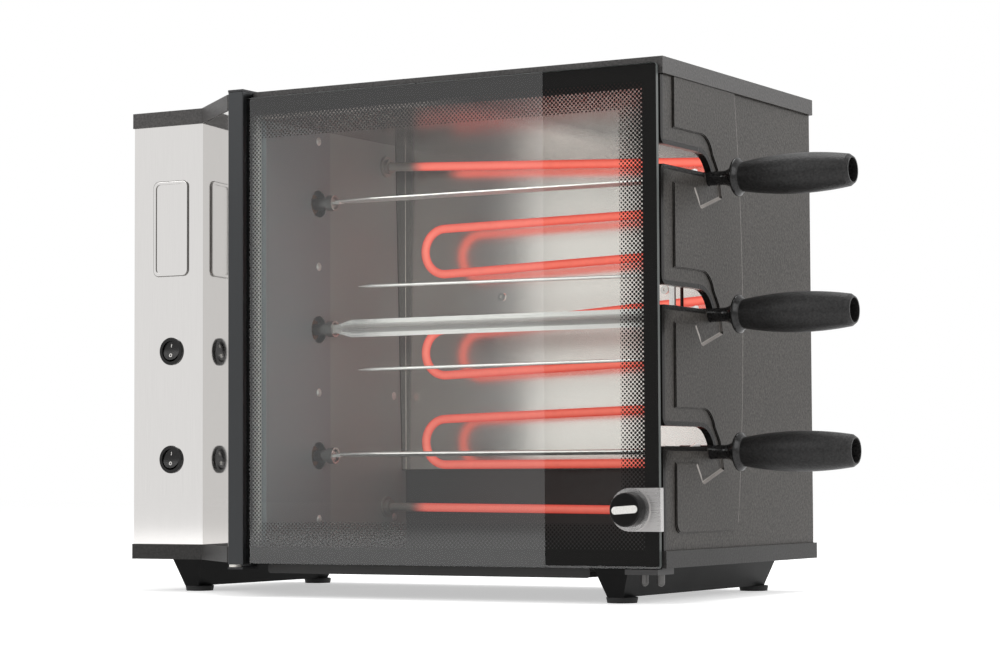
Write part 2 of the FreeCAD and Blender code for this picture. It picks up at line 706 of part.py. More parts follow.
def pressed_field(inset, x0, x1):
    """The raised field of the right panel, inset from its edge, from x0 to x1."""
    top = BODY_H - FIELD_TOP_GAP - inset
    low = FIELD_LOW + inset
    front = FIELD_FRONT + inset
    rear = FIELD_REAR - inset
    outline = Part.Wire([
        line(Vec(x0, front, low), Vec(x0, rear, low)),
        arc(Vec(x0, rear, low), Vec(x0, rear + FIELD_BOW, (low + top) / 2.0), Vec(x0, rear, top)),
        line(Vec(x0, rear, top), Vec(x0, front, top)),
        line(Vec(x0, front, top), Vec(x0, front, low)),
    ])
    field = Part.Face(outline).extrude(Vec(x1 - x0, 0, 0))
    corners = [e for e in edges_along(field, 0) if e.BoundBox.ZMax < low + 1]
    field = field.makeFillet(FIELD_CORNER, corners)
    for z in SKEWER_Z:
        border = Part.Face(slot_border(z, x0 - CUT_PAST))
        if inset:
            border = border.makeOffset2D(inset)
        field = field.cut(border.extrude(Vec(x1 - x0 + 2 * CUT_PAST, 0, 0)))
    return field


def right_side_panel():
    outer = -RIGHT_INSET
    inner = outer - SHEET
    raised = -INSET
    front = INSET
    back = BODY_D - INSET
    side = box(inner, outer, front, back, PANEL_LOW, PANEL_TOP)
    front_flange = box(outer - PANEL_FRONT_FLANGE, outer, front, front + SHEET,
                       PANEL_LOW, PANEL_TOP)
    rear_lip = box(outer - FOLD, outer, back - 2 * SHEET, back - SHEET, PANEL_LOW, PANEL_TOP)
    low_step = pressed_field(0, outer, (outer + raised) / 2.0)
    high_step = pressed_field(FIELD_SLOPE / 2.0, outer, raised)
    pieces = [side, front_flange, rear_lip, low_step, high_step]
    hollow = pressed_field(FIELD_SLOPE + SHEET, inner - 1, raised - SHEET)
    for z in SKEWER_Z:
        opening = Part.Face(slot_wire(z, outer - SLOT_RIM))
        rim = opening.makeOffset2D(SHEET).cut(opening)
        rim = rim.extrude(Vec(SLOT_RIM, 0, 0))
        pieces.append(rim.common(box(-BODY_W, 0, front, back, 0, BODY_H)))
    panel = fused(pieces).cut(hollow)
    for z in SKEWER_Z:
        opening = Part.Face(slot_wire(z, outer - 2 * SLOT_RIM))
        panel = panel.cut(opening.extrude(Vec(3 * SLOT_RIM, 0, 0)))
    return panel


def skewer_rest():
    """Strip behind the slots: a hump in front of each seat keeps the neck in."""
    x0 = -RIGHT_INSET - SLOT_RIM - REST_T
    x1 = x0 + REST_T
    strip = box(x0, x1, REST_FRONT, REST_REAR, SKEWER_Z[0] - REST_MARGIN,
                SKEWER_Z[2] + REST_MARGIN)
    front = REST_FRONT - FOLD
    hump_front = REST_HUMP_Y - REST_HUMP_FLAT + 1.0
    for z in SKEWER_Z:
        top = z + SLOT_TOP + REST_TOP_GAP
        opening = plate_yz([
            (front, z + SLOT_LIP), (REST_HUMP_Y - REST_HUMP_FOOT, z + SLOT_LIP),
            (hump_front, z + REST_HUMP), (REST_HUMP_Y + 1.0, z + REST_HUMP),
            (SKEWER_Y - SEAT_R, z), (SKEWER_Y + SEAT_R, z),
            (SKEWER_Y + SEAT_R + SEAT_CLEAR, z + 2 * SEAT_R), (SKEWER_Y - SLOT_LIP, top),
            (front, top),
        ], x0 - 1, x1 + 1)
        seat = rod_x(x0 - 1, x1 + 1, SKEWER_Y, z, SEAT_R)
        strip = strip.cut(opening).cut(seat)
    return strip


# ---------------------------------------------------------------- chamber

def wall_screw_places():
    """(y, z) of the inner wall's screws: the drive's posts, then the rear column."""
    places = [(SKEWER_Y, z) for z in WALL_SCREW_Z]
    return places + [(REAR_SCREW_Y, z) for z in WALL_SCREW_Z[:2]]


def left_inner_wall():
    wall = box(-WALL_X - SHEET, -WALL_X, WALL_FRONT, CHAMBER_BACK_Y, PANEL_LOW, PANEL_TOP)
    lip = box(-WALL_X - WALL_LIP - STILE_EDGE, -WALL_X, WALL_FRONT, WALL_FRONT + SHEET,
              PANEL_LOW, PANEL_TOP)
    x0 = -WALL_X - FOLD
    x1 = -WALL_X + FOLD
    holes = [rod_x(x0, x1, SKEWER_Y, z, WALL_HOLE_R) for z in SKEWER_Z]
    holes += [rod_x(x0, x1, y, z, SCREW_R) for y, z in wall_screw_places()]
    holes += [rod_x(x0, x1, ELEMENT_Y, z, ELEMENT_HOLE_R)
              for z in (COLD_END_TOP_Z, COLD_END_LOW_Z)]
    return fused([wall, lip]).cut(fused(holes))


def chamber_back():
    y = CHAMBER_BACK_Y
    right = -RIGHT_INSET - SHEET - PANEL_GAP
    wall = box(-WALL_X - FOLD, right, y, y + SHEET, PANEL_LOW, PANEL_TOP)
    side_lip = box(right - SHEET, right, y, y + FOLD, PANEL_LOW, PANEL_TOP)
    return fused([wall, side_lip])


def back_reflector():
    y = REFLECTOR_Y
    left = -WALL_X
    right = -CHAMBER_RIGHT
    top = CEILING_Z
    sheet = box(left, right, y, y + REFLECTOR_T, REFLECTOR_LOW, top)
    side = [(y, REFLECTOR_LOW), (y, top), (y - RETURN_TOP, top), (y - RETURN_LOW, REFLECTOR_LOW)]
    left_return = plate_yz(side, left, left + REFLECTOR_T)
    right_return = plate_yz(side, right - REFLECTOR_T, right)
    lower_lip = box(left, right, y - RETURN_LOW, y, REFLECTOR_LOW, REFLECTOR_LOW + REFLECTOR_T)
    return fused([sheet, left_return, right_return, lower_lip])


def ceiling_liner():
    z = CEILING_Z
    front = INSET + SHEET + 1.0
    right = -RIGHT_INSET - SHEET - PANEL_GAP
    sheet = box(-WALL_X, right, front, CHAMBER_BACK_Y, z, z + SHEET)
    front_lip = box(-WALL_X, right, front, front + SHEET, z, PANEL_TOP)
    return fused([sheet, front_lip])


def reflector_rivets():
    middle = -(WALL_X + CHAMBER_RIGHT) / 2.0
    z = CEILING_Z - RIVET_DOWN
    pieces = []
    for x in (middle - RIVET_OUT, middle + RIVET_OUT):
        ring = rod_y(x, REFLECTOR_Y - RIVET_T, REFLECTOR_Y, z, RIVET_R)
        eye = rod_y(x, REFLECTOR_Y - 2 * RIVET_T, REFLECTOR_Y - RIVET_T / 3.0, z, RIVET_EYE_R)
        pieces.append(ring.cut(eye))
    return pieces


def wall_screws():
    heads = []
    for y, z in wall_screw_places():
        shank = rod_x(-WALL_X - SCREW_DEPTH, -WALL_X + 0.1, y, z, SCREW_R - SCREW_CLEAR)
        heads.append(fused([pan_head_x(-WALL_X, y, z, SCREW_HEAD_R, 1), shank]))
    for z in JAMB_SCREW_Z:
        heads.append(pan_head_y(JAMB_SCREW_X, JAMB_Y, z, SMALL_HEAD_R, -1))
    return heads


def element_path():
    """Centre line of the tube: straight legs tangent to bends of one radius."""
    y = ELEMENT_Y
    bends = []
    for i in range(len(RIGHT_BENDS_Z)):
        bends.append((-BEND_RIGHT_X, RIGHT_BENDS_Z[i], 1))
        if i < len(LEFT_BENDS_Z):
            bends.append((-BEND_LEFT_X, LEFT_BENDS_Z[i], -1))
    start = Vec(BUSH_MIDDLE_X, y, COLD_END_TOP_Z)
    finish = Vec(BUSH_MIDDLE_X, y, COLD_END_LOW_Z)

    def outwards(end, towards):
        step = towards.sub(end).normalize()
        return end.sub(step.multiply(COLD_TAIL))

    def point(centre, angle):
        return Vec(centre[0] + BEND_R * math.cos(angle), y, centre[1] + BEND_R * math.sin(angle))

    def tangent_from(end, centre, above):
        dx = centre[0] - end.x
        dz = centre[1] - end.z
        distance = math.hypot(dx, dz)
        lean = math.asin(BEND_R / distance)
        direction = math.atan2(dz, dx) + (lean if above else -lean)
        return direction + (math.pi / 2.0 if above else -math.pi / 2.0)

    entry = tangent_from(start, bends[0], True)
    edges = []
    here = start
    for i, centre in enumerate(bends):
        side = centre[2]
        if i + 1 < len(bends):
            after = bends[i + 1]
            dx = after[0] - centre[0]
            dz = after[1] - centre[1]
            cross = math.acos(2.0 * BEND_R / math.hypot(dx, dz))
            leave = math.atan2(dz, dx) + side * cross
        else:
            leave = tangent_from(finish, centre, False)
        first = point(centre, entry)
        last = point(centre, leave)
        outer = Vec(centre[0] + side * BEND_R, y, centre[1])
        edges.append(line(outwards(here, first) if i == 0 else here, first))
        edges.append(arc(first, outer, last))
        here = last
        entry = leave + math.pi
    edges.append(line(here, outwards(finish, here)))
    return Part.Wire(edges)


def swept_rod(path, radius):
    start = path.Edges[0].Vertexes[0].Point
    along = path.Edges[0].tangentAt(path.Edges[0].FirstParameter)
    circle = Part.Wire(Part.Circle(start, along, radius).toShape())
    return path.makePipeShell([circle], True, False)


def heating_element():
    return swept_rod(element_path(), TUBE_R)


def element_support():
    """Bent wire that holds the element's middle legs, its ends on the reflector."""
    low = RIGHT_BENDS_Z[2] - BEND_R - STAY_PAST
    high = RIGHT_BENDS_Z[1] + BEND_R + STAY_PAST
    front = ELEMENT_Y - TUBE_R - STAY_GAP - STAY_R
    diagonal = STAY_BEND * (1.0 - math.sqrt(0.5))

    def at(y, z):
        return Vec(STAY_X, y, z)

    return swept_rod(Part.Wire([
        line(at(REFLECTOR_Y, low), at(front + STAY_BEND, low)),
        arc(at(front + STAY_BEND, low), at(front + diagonal, low + diagonal),
            at(front, low + STAY_BEND)),
        line(at(front, low + STAY_BEND), at(front, high - STAY_BEND)),
        arc(at(front, high - STAY_BEND), at(front + diagonal, high - diagonal),
            at(front + STAY_BEND, high)),
        line(at(front + STAY_BEND, high), at(REFLECTOR_Y, high)),
    ]), STAY_R)


def hexagon_x(x0, x1, y, z, radius):
    corners = [(y + radius * math.cos(math.radians(60 * k)),
                z + radius * math.sin(math.radians(60 * k))) for k in range(6)]
    return plate_yz(corners, x0, x1)


def element_bushings():
    """Glands that hold the tube's cold ends in the inner wall, each with its nut."""
    pieces = []
    y = ELEMENT_Y
    nut_x = -WALL_X - SHEET
    for z in (COLD_END_TOP_Z, COLD_END_LOW_Z):
        thread = rod_x(-WALL_X - GLAND_IN, -WALL_X + GLAND_OUT, y, z,
                       ELEMENT_HOLE_R - GLAND_THREAD_CLEAR)
        flange = rod_x(-WALL_X, -WALL_X + GLAND_FLANGE_T, y, z, GLAND_FLANGE_R)
        bore = rod_x(-WALL_X - 2 * GLAND_IN, -WALL_X + GLAND_IN, y, z, TUBE_R + TUBE_CLEAR)
        pieces.append(fused([thread, flange]).cut(bore))
        nut = hexagon_x(nut_x - GLAND_NUT_T, nut_x, y, z, GLAND_NUT_R)
        pieces.append(nut.cut(rod_x(nut_x - GLAND_NUT_T, nut_x, y, z, ELEMENT_HOLE_R)))
    return pieces


# ---------------------------------------------------------------- feet and tray

def foot_rail(x, front):
    z_low = PAD_H - FOOT_H

    def rectangle(half, slant, z, inset=0.0):
        y0 = front + slant + inset
        y1 = RAIL_REAR - slant - inset
        w = half - inset
        return Part.makePolygon([Vec(x - w, y0, z), Vec(x + w, y0, z), Vec(x + w, y1, z),
                                 Vec(x - w, y1, z), Vec(x - w, y0, z)])

    top_half = RAIL_TOP_W / 2.0
    low_half = RAIL_LOW_W / 2.0
    outer = Part.makeLoft([rectangle(top_half, 0, 0), rectangle(low_half, RAIL_SLANT, z_low)],
                          True, True)
    inner = Part.makeLoft([rectangle(top_half, 0, 0, RAIL_WALL),
                           rectangle(low_half, RAIL_SLANT, z_low + RAIL_WALL, RAIL_WALL)],
                          True, True)
    return outer.cut(inner)


def foot_pads():
    pads = []
    z_top = PAD_H - FOOT_H
    for x, front in ((-RAIL_X, RAIL_FRONT_RIGHT), (RAIL_X - BODY_W, RAIL_FRONT_LEFT)):
        for y in (front + PAD_INSET_FRONT, RAIL_REAR - PAD_INSET_REAR):
            pad = Part.makeCone(PAD_R - PAD_TAPER, PAD_R, PAD_H, Vec(x, y, -FOOT_H))
            rim = [e for e in pad.Edges if abs(e.BoundBox.ZMax - z_top) < 0.01
                   and e.BoundBox.ZLength < 0.01]
            pads.append(pad.makeFillet(PAD_EDGE, rim))
    return pads


def drip_tray():
    z_top = -TRAY_DROP
    z_low = z_top - TRAY_DEPTH
    lip_z = z_top - LIP_DROP
    wall = TRAY_SHEET
    outer = box(-TRAY_LEFT, -TRAY_RIGHT, TRAY_FRONT, TRAY_REAR, z_low, lip_z)
    inner = box(-TRAY_LEFT + wall, -TRAY_RIGHT - wall, TRAY_FRONT + wall,
                TRAY_REAR - wall, z_low + wall, lip_z + 1)
    pan = outer.cut(inner)
    lips = [box(x, x + side * TRAY_LIP, TRAY_FRONT, TRAY_REAR, lip_z - wall, lip_z)
            for x, side in ((-TRAY_LEFT, -1), (-TRAY_RIGHT, 1))]
    front = box(-TRAY_LEFT - TRAY_OVERHANG, -TRAY_RIGHT + TRAY_OVERHANG,
                TRAY_FRONT - wall, TRAY_FRONT, z_low, z_top)
    corners = [e for e in edges_along(front, 1) if e.BoundBox.ZMax < z_low + 1]
    front = front.makeFillet(TRAY_CORNER, corners)
    return fused([pan] + lips + [front])


def tray_runners():
    runners = []
    top = -TRAY_DROP - LIP_DROP - TRAY_SHEET - LIP_CLEAR
    y0 = TRAY_FRONT + RUNNER_FRONT_GAP
    y1 = TRAY_REAR - RUNNER_REAR_GAP
    for x, side in ((-TRAY_LEFT, -1), (-TRAY_RIGHT, 1)):
        web_x = x + side * (TRAY_LIP + RUNNER_CLEAR)
        web = box(web_x, web_x + side * SHEET, y0, y1, top - SHEET, 0)
        ledge = box(x + side * RUNNER_CLEAR, web_x, y0, y1, top - SHEET, top)
        runners.append(fused([web, ledge]))
    return runners


# ---------------------------------------------------------------- door

def door_glass():
    glass = box(-STILE_RIGHT - GLASS_GROOVE, -GLASS_RIGHT, -GLASS_FRONT,
                -GLASS_FRONT + GLASS_T, GLASS_LOW, GLASS_H)
    corners = [e for e in edges_along(glass, 1) if e.BoundBox.XMin > -GLASS_RIGHT - 1]
    glass = glass.makeFillet(GLASS_CORNER, corners)
    hole_r = KNOB_SCREW_R + KNOB_GLASS_CLEAR
    return glass.cut(rod_y(-BRACKET_REACH, -STILE_W, STILE_W, KNOB_Z, hole_r))


def door_stile():
    x0 = -STILE_LEFT
    x1 = -STILE_RIGHT
    y0 = -STILE_FRONT
    y1 = STILE_BACK
    wall = STILE_WALL
    outer = box(x0, x1, y0, y1, STILE_LOW, STILE_TOP)
    outer = outer.makeFillet(STILE_EDGE, edges_along(outer, 2))
    hollow = box(x0 + wall, x1 - wall, y0 + wall, y1 - wall, STILE_LOW - 1, STILE_TOP + 1)
    groove = box(x1 - wall - 1, x1 + 1, -GLASS_FRONT, -GLASS_FRONT + GLASS_T,
                 GLASS_LOW, GLASS_H)
    return outer.cut(hollow).cut(groove)


def stile_caps():
    wall = STILE_WALL
    caps = []
    for z0, z1 in ((STILE_LOW, STILE_LOW + CAP_DEPTH), (STILE_TOP - CAP_DEPTH, STILE_TOP)):
        cap = box(-STILE_LEFT + wall, -STILE_RIGHT - wall, -STILE_FRONT + wall,
                  STILE_BACK - wall, z0, z1)
        bore = rod_z(-HINGE_X, -HINGE_Y, z0 - 1, z1 + 1, PIN_R + PIN_CLEAR)
        glass = box(-STILE_RIGHT - GLASS_GROOVE - PANEL_GAP / 2.0, 0, -GLASS_FRONT,
                    -GLASS_FRONT + GLASS_T, GLASS_LOW, GLASS_H)
        caps.append(cap.cut(bore).cut(glass))
    return caps


def top_hinge_plate():
    top = BODY_H + HINGE_PLATE_T
    plate = box(-STILE_LEFT, -STILE_RIGHT, -STILE_FRONT, HINGE_PLATE_REAR, BODY_H, top)
    return fused([plate, rod_z(-HINGE_X, -HINGE_Y, STILE_TOP - PIN_IN, top, PIN_R)])


def bottom_hinge_plate():
    riser = NOTCH_BACK + HINGE_STEP_GAP
    low = LOW_PLATE_Z - HINGE_PLATE_T
    forward = box(-STILE_LEFT, -STILE_RIGHT, -STILE_FRONT, riser, low, LOW_PLATE_Z)
    step = box(-STILE_LEFT, -STILE_RIGHT, riser, riser + HINGE_PLATE_T, low, 0)
    rear = box(-STILE_LEFT, -STILE_RIGHT, riser, riser + HINGE_FOOT, -HINGE_PLATE_T, 0)
    pin = rod_z(-HINGE_X, -HINGE_Y, low, STILE_LOW + PIN_IN, PIN_R)
    return fused([forward, step, rear, pin])


def hinge_washer():
    top = LOW_PLATE_Z + WASHER_T
    washer = rod_z(-HINGE_X, -HINGE_Y, LOW_PLATE_Z, top, WASHER_R)
    return washer.cut(rod_z(-HINGE_X, -HINGE_Y, LOW_PLATE_Z - 1, top + 1, PIN_R))


def knob_hole():
    radius = KNOB_SCREW_R + KNOB_HOLE_CLEAR
    return rod_y(-BRACKET_REACH, -KNOB_FRONT, KNOB_FRONT, KNOB_Z, radius)


def knob_bracket():
    front = -GLASS_FRONT
    back = front + GLASS_T
    rear = back + BRACKET_REAR_T
    low = KNOB_Z - BRACKET_H / 2.0
    high = KNOB_Z + BRACKET_H / 2.0
    x_fold = BRACKET_EDGE_GAP - GLASS_RIGHT + BRACKET_T
    plate = box(-BRACKET_REACH, x_fold, front - BRACKET_T, front, low, high)
    round_end = rod_y(-BRACKET_REACH, front - BRACKET_T, front, KNOB_Z, BRACKET_H / 2.0)
    fold = box(x_fold - BRACKET_T, x_fold, front, rear, low, high)
    grip = box(x_fold - BRACKET_REAR_W, x_fold, back, rear, low, high)
    return fused([plate, round_end, fold, grip]).cut(knob_hole())


def knob_disc():
    y = -GLASS_FRONT - BRACKET_T
    disc = rod_y(-BRACKET_REACH, y - DISC_T, y, KNOB_Z, BRACKET_H / 2.0)
    return disc.cut(knob_hole())


def door_knob():
    y = KNOB_DEPTH - KNOB_FRONT
    front = -KNOB_FRONT
    knob = Part.makeCone(KNOB_R, KNOB_R - KNOB_DRAFT, KNOB_DEPTH, Vec(-BRACKET_REACH, y, KNOB_Z),
                         Vec(0, -1, 0))
    rim = [e for e in knob.Edges if e.BoundBox.YMax < front + 0.01]
    knob = knob.makeFillet(KNOB_EDGE, rim)
    return knob.cut(rod_y(-BRACKET_REACH, front + KNOB_SCREW_IN - 0.5, 0, KNOB_Z, KNOB_SCREW_R))


def knob_screw():
    back = -GLASS_FRONT + GLASS_T
    shank = rod_y(-BRACKET_REACH, KNOB_SCREW_IN - KNOB_FRONT, back, KNOB_Z,
                  KNOB_SCREW_R - SCREW_CLEAR)
    head = rod_y(-BRACKET_REACH, back, back + KNOB_HEAD_T, KNOB_Z, KNOB_HEAD_R)
    return fused([shank, head])


def door_catch():
    x0 = CATCH_X - CATCH_W / 2.0
    x1 = CATCH_X + CATCH_W / 2.0
    front = box(x0, x1, CATCH_FRONT, CATCH_REAR, CATCH_LOW, CATCH_STEP_Z)
    seat = box(x0, x1, CATCH_STEP_Y, CATCH_REAR, CATCH_STEP_Z, 0)
    return fused([front, seat])


def catch_studs():
    studs = []
    end = CATCH_LOW - CATCH_STUD_L + CATCH_STUD_R
    for side in (-1, 1):
        x = CATCH_X + side * CATCH_STUD_OUT
        stem = rod_z(x, CATCH_STUD_Y, end, CATCH_LOW, CATCH_STUD_R)
        tip = Part.makeSphere(CATCH_STUD_R, Vec(x, CATCH_STUD_Y, end))
        studs.append(fused([stem, tip]))
    return studs


# ---------------------------------------------------------------- drive

def gear_profile(teeth, x, first_gap):
    """Outline of an involute spur gear in a plane square to x.

    first_gap is the direction, in degrees from +y towards +z, of a gap."""
    pitch_r = GEAR_MODULE * teeth / 2.0
    base_r = pitch_r * math.cos(math.radians(PRESSURE))
    tip_r = pitch_r + TIP_SHARE * GEAR_MODULE
    root_r = pitch_r - ROOT_SHARE * GEAR_MODULE
    start_r = max(base_r, root_r + ROOT_STEP)
    middle_r = (start_r + tip_r) / 2.0
    half_tooth = math.pi / (2.0 * teeth) - GEAR_FLOAT / (2.0 * pitch_r)

    def involute(radius):
        angle = math.acos(min(1.0, base_r / radius))
        return math.tan(angle) - angle

    def half_angle(radius):
        return half_tooth + involute(pitch_r) - involute(radius)

    def at(radius, angle):
        return Vec(x, radius * math.cos(angle), radius * math.sin(angle))

    step = 2.0 * math.pi / teeth
    root_half = half_angle(start_r)
    edges = []
    for k in range(teeth):
        centre = math.radians(first_gap) + step * (k + 0.5)
        following = centre + step
        rise = [at(r, centre - half_angle(r)) for r in (start_r, middle_r, tip_r)]
        fall = [at(r, centre + half_angle(r)) for r in (tip_r, middle_r, start_r)]
        edges.append(line(at(root_r, centre - root_half), rise[0]))
        edges.append(arc(*rise))
        edges.append(line(rise[2], fall[0]))
        edges.append(arc(*fall))
        edges.append(line(fall[2], at(root_r, centre + root_half)))
        edges.append(line(at(root_r, centre + root_half), at(root_r, following - root_half)))
    return Part.Wire(edges)


def gear(teeth, y, z, first_gap, bore):
    blank = Part.Face(gear_profile(teeth, GEAR_X - GEAR_T, first_gap))
    wheel = blank.extrude(Vec(GEAR_T, 0, 0))
    wheel.translate(Vec(0, y, z))
    return wheel.cut(rod_x(GEAR_X - 2 * GEAR_T, GEAR_X + GEAR_T, y, z, bore))


def hubbed_gear(z, bore_r):
    """Gear with a hub on both sides that fills the space between the plates."""
    wheel = gear(GEAR_TEETH, SKEWER_Y, z, 270.0, bore_r)
    groove = tube_x(GEAR_X - GEAR_T - 1, GEAR_X - GEAR_T + GROOVE_DEPTH, SKEWER_Y, z,
                    GEAR_CENTRES / 2.0 - GROOVE_RING, GROOVE_R)
    hub = tube_x(PLATE_X + HUB_FLOAT, FRONT_PLATE_X - GEAR_PLATE_T - HUB_FLOAT,
                 SKEWER_Y, z, HUB_R, bore_r)
    return fused([wheel.cut(groove), hub])


def drive_socket(z, angle):
    """Socket and shaft turned in one piece, with the slot for a skewer's tang."""
    y = SKEWER_Y
    end = SOCKET_X
    root = FRONT_PLATE_X + BUSH_FLANGE_T + HUB_FLOAT
    tail = PLATE_X - GEAR_PLATE_T - SHAFT_TAIL
    socket = revolved_x([
        (tail, 0),
        (tail, SHAFT_R),
        (root, SHAFT_R),
        (root, SOCKET_NECK_R),
        (end - SOCKET_HEAD - SOCKET_STEP, SOCKET_NECK_R),
        (end - SOCKET_HEAD, SOCKET_R),
        (end, SOCKET_R),
        (end, SOCKET_MOUTH_R),
        (end - SOCKET_MOUTH_DEPTH, SOCKET_BOTTOM_R),
        (end - SOCKET_MOUTH_DEPTH, 0),
    ], y, z)
    half_w = TANG_W / 2.0 + TANG_CLEAR
    half_t = TANG_T / 2.0 + TANG_CLEAR
    slot = box(end - TANG_IN - 1.0, end + 1, y - half_w, y + half_w, z - half_t, z + half_t)
    slot.rotate(Vec(0, y, z), Vec(1, 0, 0), angle)
    return socket.cut(slot)


def spindle_bushes():
    bushes = []
    bore = SHAFT_R + PIN_CLEAR
    for z in SKEWER_Z:
        for x, side in ((FRONT_PLATE_X, 1), (PLATE_X - GEAR_PLATE_T, -1)):
            back = x - side * GEAR_PLATE_T
            rim = x + side * BUSH_FLANGE_T
            sleeve = tube_x(min(x, back), max(x, back), SKEWER_Y, z, BUSH_R, bore)
            flange = tube_x(min(x, rim), max(x, rim), SKEWER_Y, z, BUSH_R + BUSH_RIM, bore)
            bushes.append(fused([sleeve, flange]))
    return bushes


def post_places():
    """(y, z) of the four posts that hold the gear plates to the inner wall."""
    return [(y, z) for y in (SKEWER_Y, POST_REAR_Y) for z in (WALL_SCREW_Z[0], WALL_SCREW_Z[3])]


def gear_plates():
    plates = []
    motor_holes = (MOTOR_SHAFT_R + SHAFT_HOLE_CLEAR, MOTOR_COLLAR_R + MOTOR_COLLAR_CLEAR)
    for x1, motor_hole in zip((FRONT_PLATE_X, PLATE_X), motor_holes):
        x0 = x1 - GEAR_PLATE_T
        plate = box(x0, x1, SKEWER_Y - PLATE_SIDE, POST_REAR_Y + PLATE_SIDE,
                    WALL_SCREW_Z[0] - PLATE_END, WALL_SCREW_Z[3] + PLATE_END)
        a = x0 - 1
        b = x1 + 1
        holes = [rod_x(a, b, SKEWER_Y, z, BUSH_R) for z in SKEWER_Z]
        holes += [rod_x(a, b, SKEWER_Y, z, IDLER_PIN_R + POST_CLEAR) for z in IDLER_Z]
        holes += [rod_x(a, b, y, z, POST_R + POST_CLEAR) for y, z in post_places()]
        holes.append(rod_x(a, b, PINION_Y, SKEWER_Z[1], motor_hole))
        plates.append(plate.cut(fused(holes)))
    return plates


def screw_bored(shape, y, z):
    return shape.cut(rod_x(-WALL_X - SCREW_DEPTH - 1.0, -WALL_X, y, z, SCREW_R))


def gear_posts():
    """Bolts through both plates with spacer sleeves; the wall screws enter them."""
    pieces = []
    tail = PLATE_X - GEAR_PLATE_T
    wall = -WALL_X - SHEET
    radius = POST_R + POST_SLEEVE
    for y, z in post_places():
        bolt = rod_x(tail, wall, y, z, POST_R)
        head = rod_x(tail - POST_HEAD_T, tail, y, z, radius)
        pieces.append(screw_bored(fused([bolt, head]), y, z))
        for x0, x1 in ((FRONT_PLATE_X, wall), (PLATE_X, FRONT_PLATE_X - GEAR_PLATE_T)):
            pieces.append(tube_x(x0, x1, y, z, radius, POST_R + POST_CLEAR))
    return pieces


def idler_axles():
    axles = []
    tail = PLATE_X - GEAR_PLATE_T
    wall = -WALL_X - SHEET
    for z in IDLER_Z:
        pin = rod_x(tail, wall, SKEWER_Y, z, IDLER_PIN_R)
        head = rod_x(tail - POST_HEAD_T, tail, SKEWER_Y, z, IDLER_HEAD_R)
        shoulder = rod_x(FRONT_PLATE_X, wall, SKEWER_Y, z, IDLER_HEAD_R)
        axles.append(screw_bored(fused([pin, head, shoulder]), SKEWER_Y, z))
    return axles


def gearmotor():
    y = PINION_Y
    z = SKEWER_Z[1]
    x = PLATE_X - GEAR_PLATE_T
    gearbox = rod_x(x - GEARBOX_T, x, y, z, GEARBOX_R)
    can = rod_x(x - GEARBOX_T - MOTOR_L, x - GEARBOX_T, y, z, MOTOR_R)
    collar = rod_x(x, PLATE_X, y, z, MOTOR_COLLAR_R)
    bore = rod_x(x - MOTOR_BORE_IN, x + MOTOR_BORE_IN, y, z, MOTOR_SHAFT_R + PIN_CLEAR)
    return fused([gearbox, can, collar]).cut(bore)


def motor_pinion():
    """Pinion on the motor's output shaft, cut from one piece."""
    y = PINION_Y
    z = SKEWER_Z[1]
    first_gap = 180.0 - 360.0 / PINION_TEETH / 4.0
    wheel = gear(PINION_TEETH, y, z, first_gap, MOTOR_SHAFT_R)
    shaft = rod_x(PLATE_X - GEAR_PLATE_T - MOTOR_SHAFT_IN, GEAR_X + PINION_OUT, y, z,
                  MOTOR_SHAFT_R)
    return fused([wheel, shaft])


def terminal_block():
    back = BODY_D - INSET - SHEET
    front = back - TERMINAL_FOOT_T - TERMINAL_SIZE
    x1 = TERMINAL_X + TERMINALS * TERMINAL_PITCH
    top = TERMINAL_Z + TERMINAL_SIZE
    block = box(TERMINAL_X, x1, front, back - TERMINAL_FOOT_T, TERMINAL_Z, top)
    holes = [rod_z(TERMINAL_X + TERMINAL_PITCH * (k + 0.5), front + TERMINAL_SIZE / 2.0,
                   top - TERMINAL_HOLE_DEPTH, top + 1, TERMINAL_HOLE_R)
             for k in range(TERMINALS)]
    foot = box(TERMINAL_X - TERMINAL_FOOT, x1 + TERMINAL_FOOT, back - TERMINAL_FOOT_T, back,
               TERMINAL_Z - TERMINAL_FOOT_Z, top + TERMINAL_FOOT_Z)
    return fused([block.cut(fused(holes)), foot])


def cable_gland():
    y = BODY_D - INSET
    inside = y - SHEET
    body = rod_y(GLAND_X, inside - GLAND_INSIDE, y + GLAND_REACH, GLAND_Z,
                 GLAND_R - GLAND_CLEAR)
    flange = rod_y(GLAND_X, y, y + GLAND_RIM, GLAND_Z, GLAND_R + GLAND_RIM)
    nut = rod_y(GLAND_X, inside - GLAND_RIM, inside, GLAND_Z, GLAND_R + GLAND_RIM)
    bore = rod_y(GLAND_X, y - 2 * GLAND_REACH, y + 2 * GLAND_REACH, GLAND_Z, GLAND_BORE_R)
    return fused([body, flange, nut]).cut(bore)


def cover_screws():
    heads = []
    pitch = (BODY_W - 2 * COVER_SCREW_END) / (COVER_SCREWS - 1)
    for k in range(COVER_SCREWS):
        for z in (SKIRT / 2.0, BODY_H - SKIRT / 2.0):
            x = -COVER_SCREW_END - pitch * k
            heads.append(pan_head_y(x, BODY_D, z, COVER_SCREW_R, 1))
    return heads


# ---------------------------------------------------------------- switches

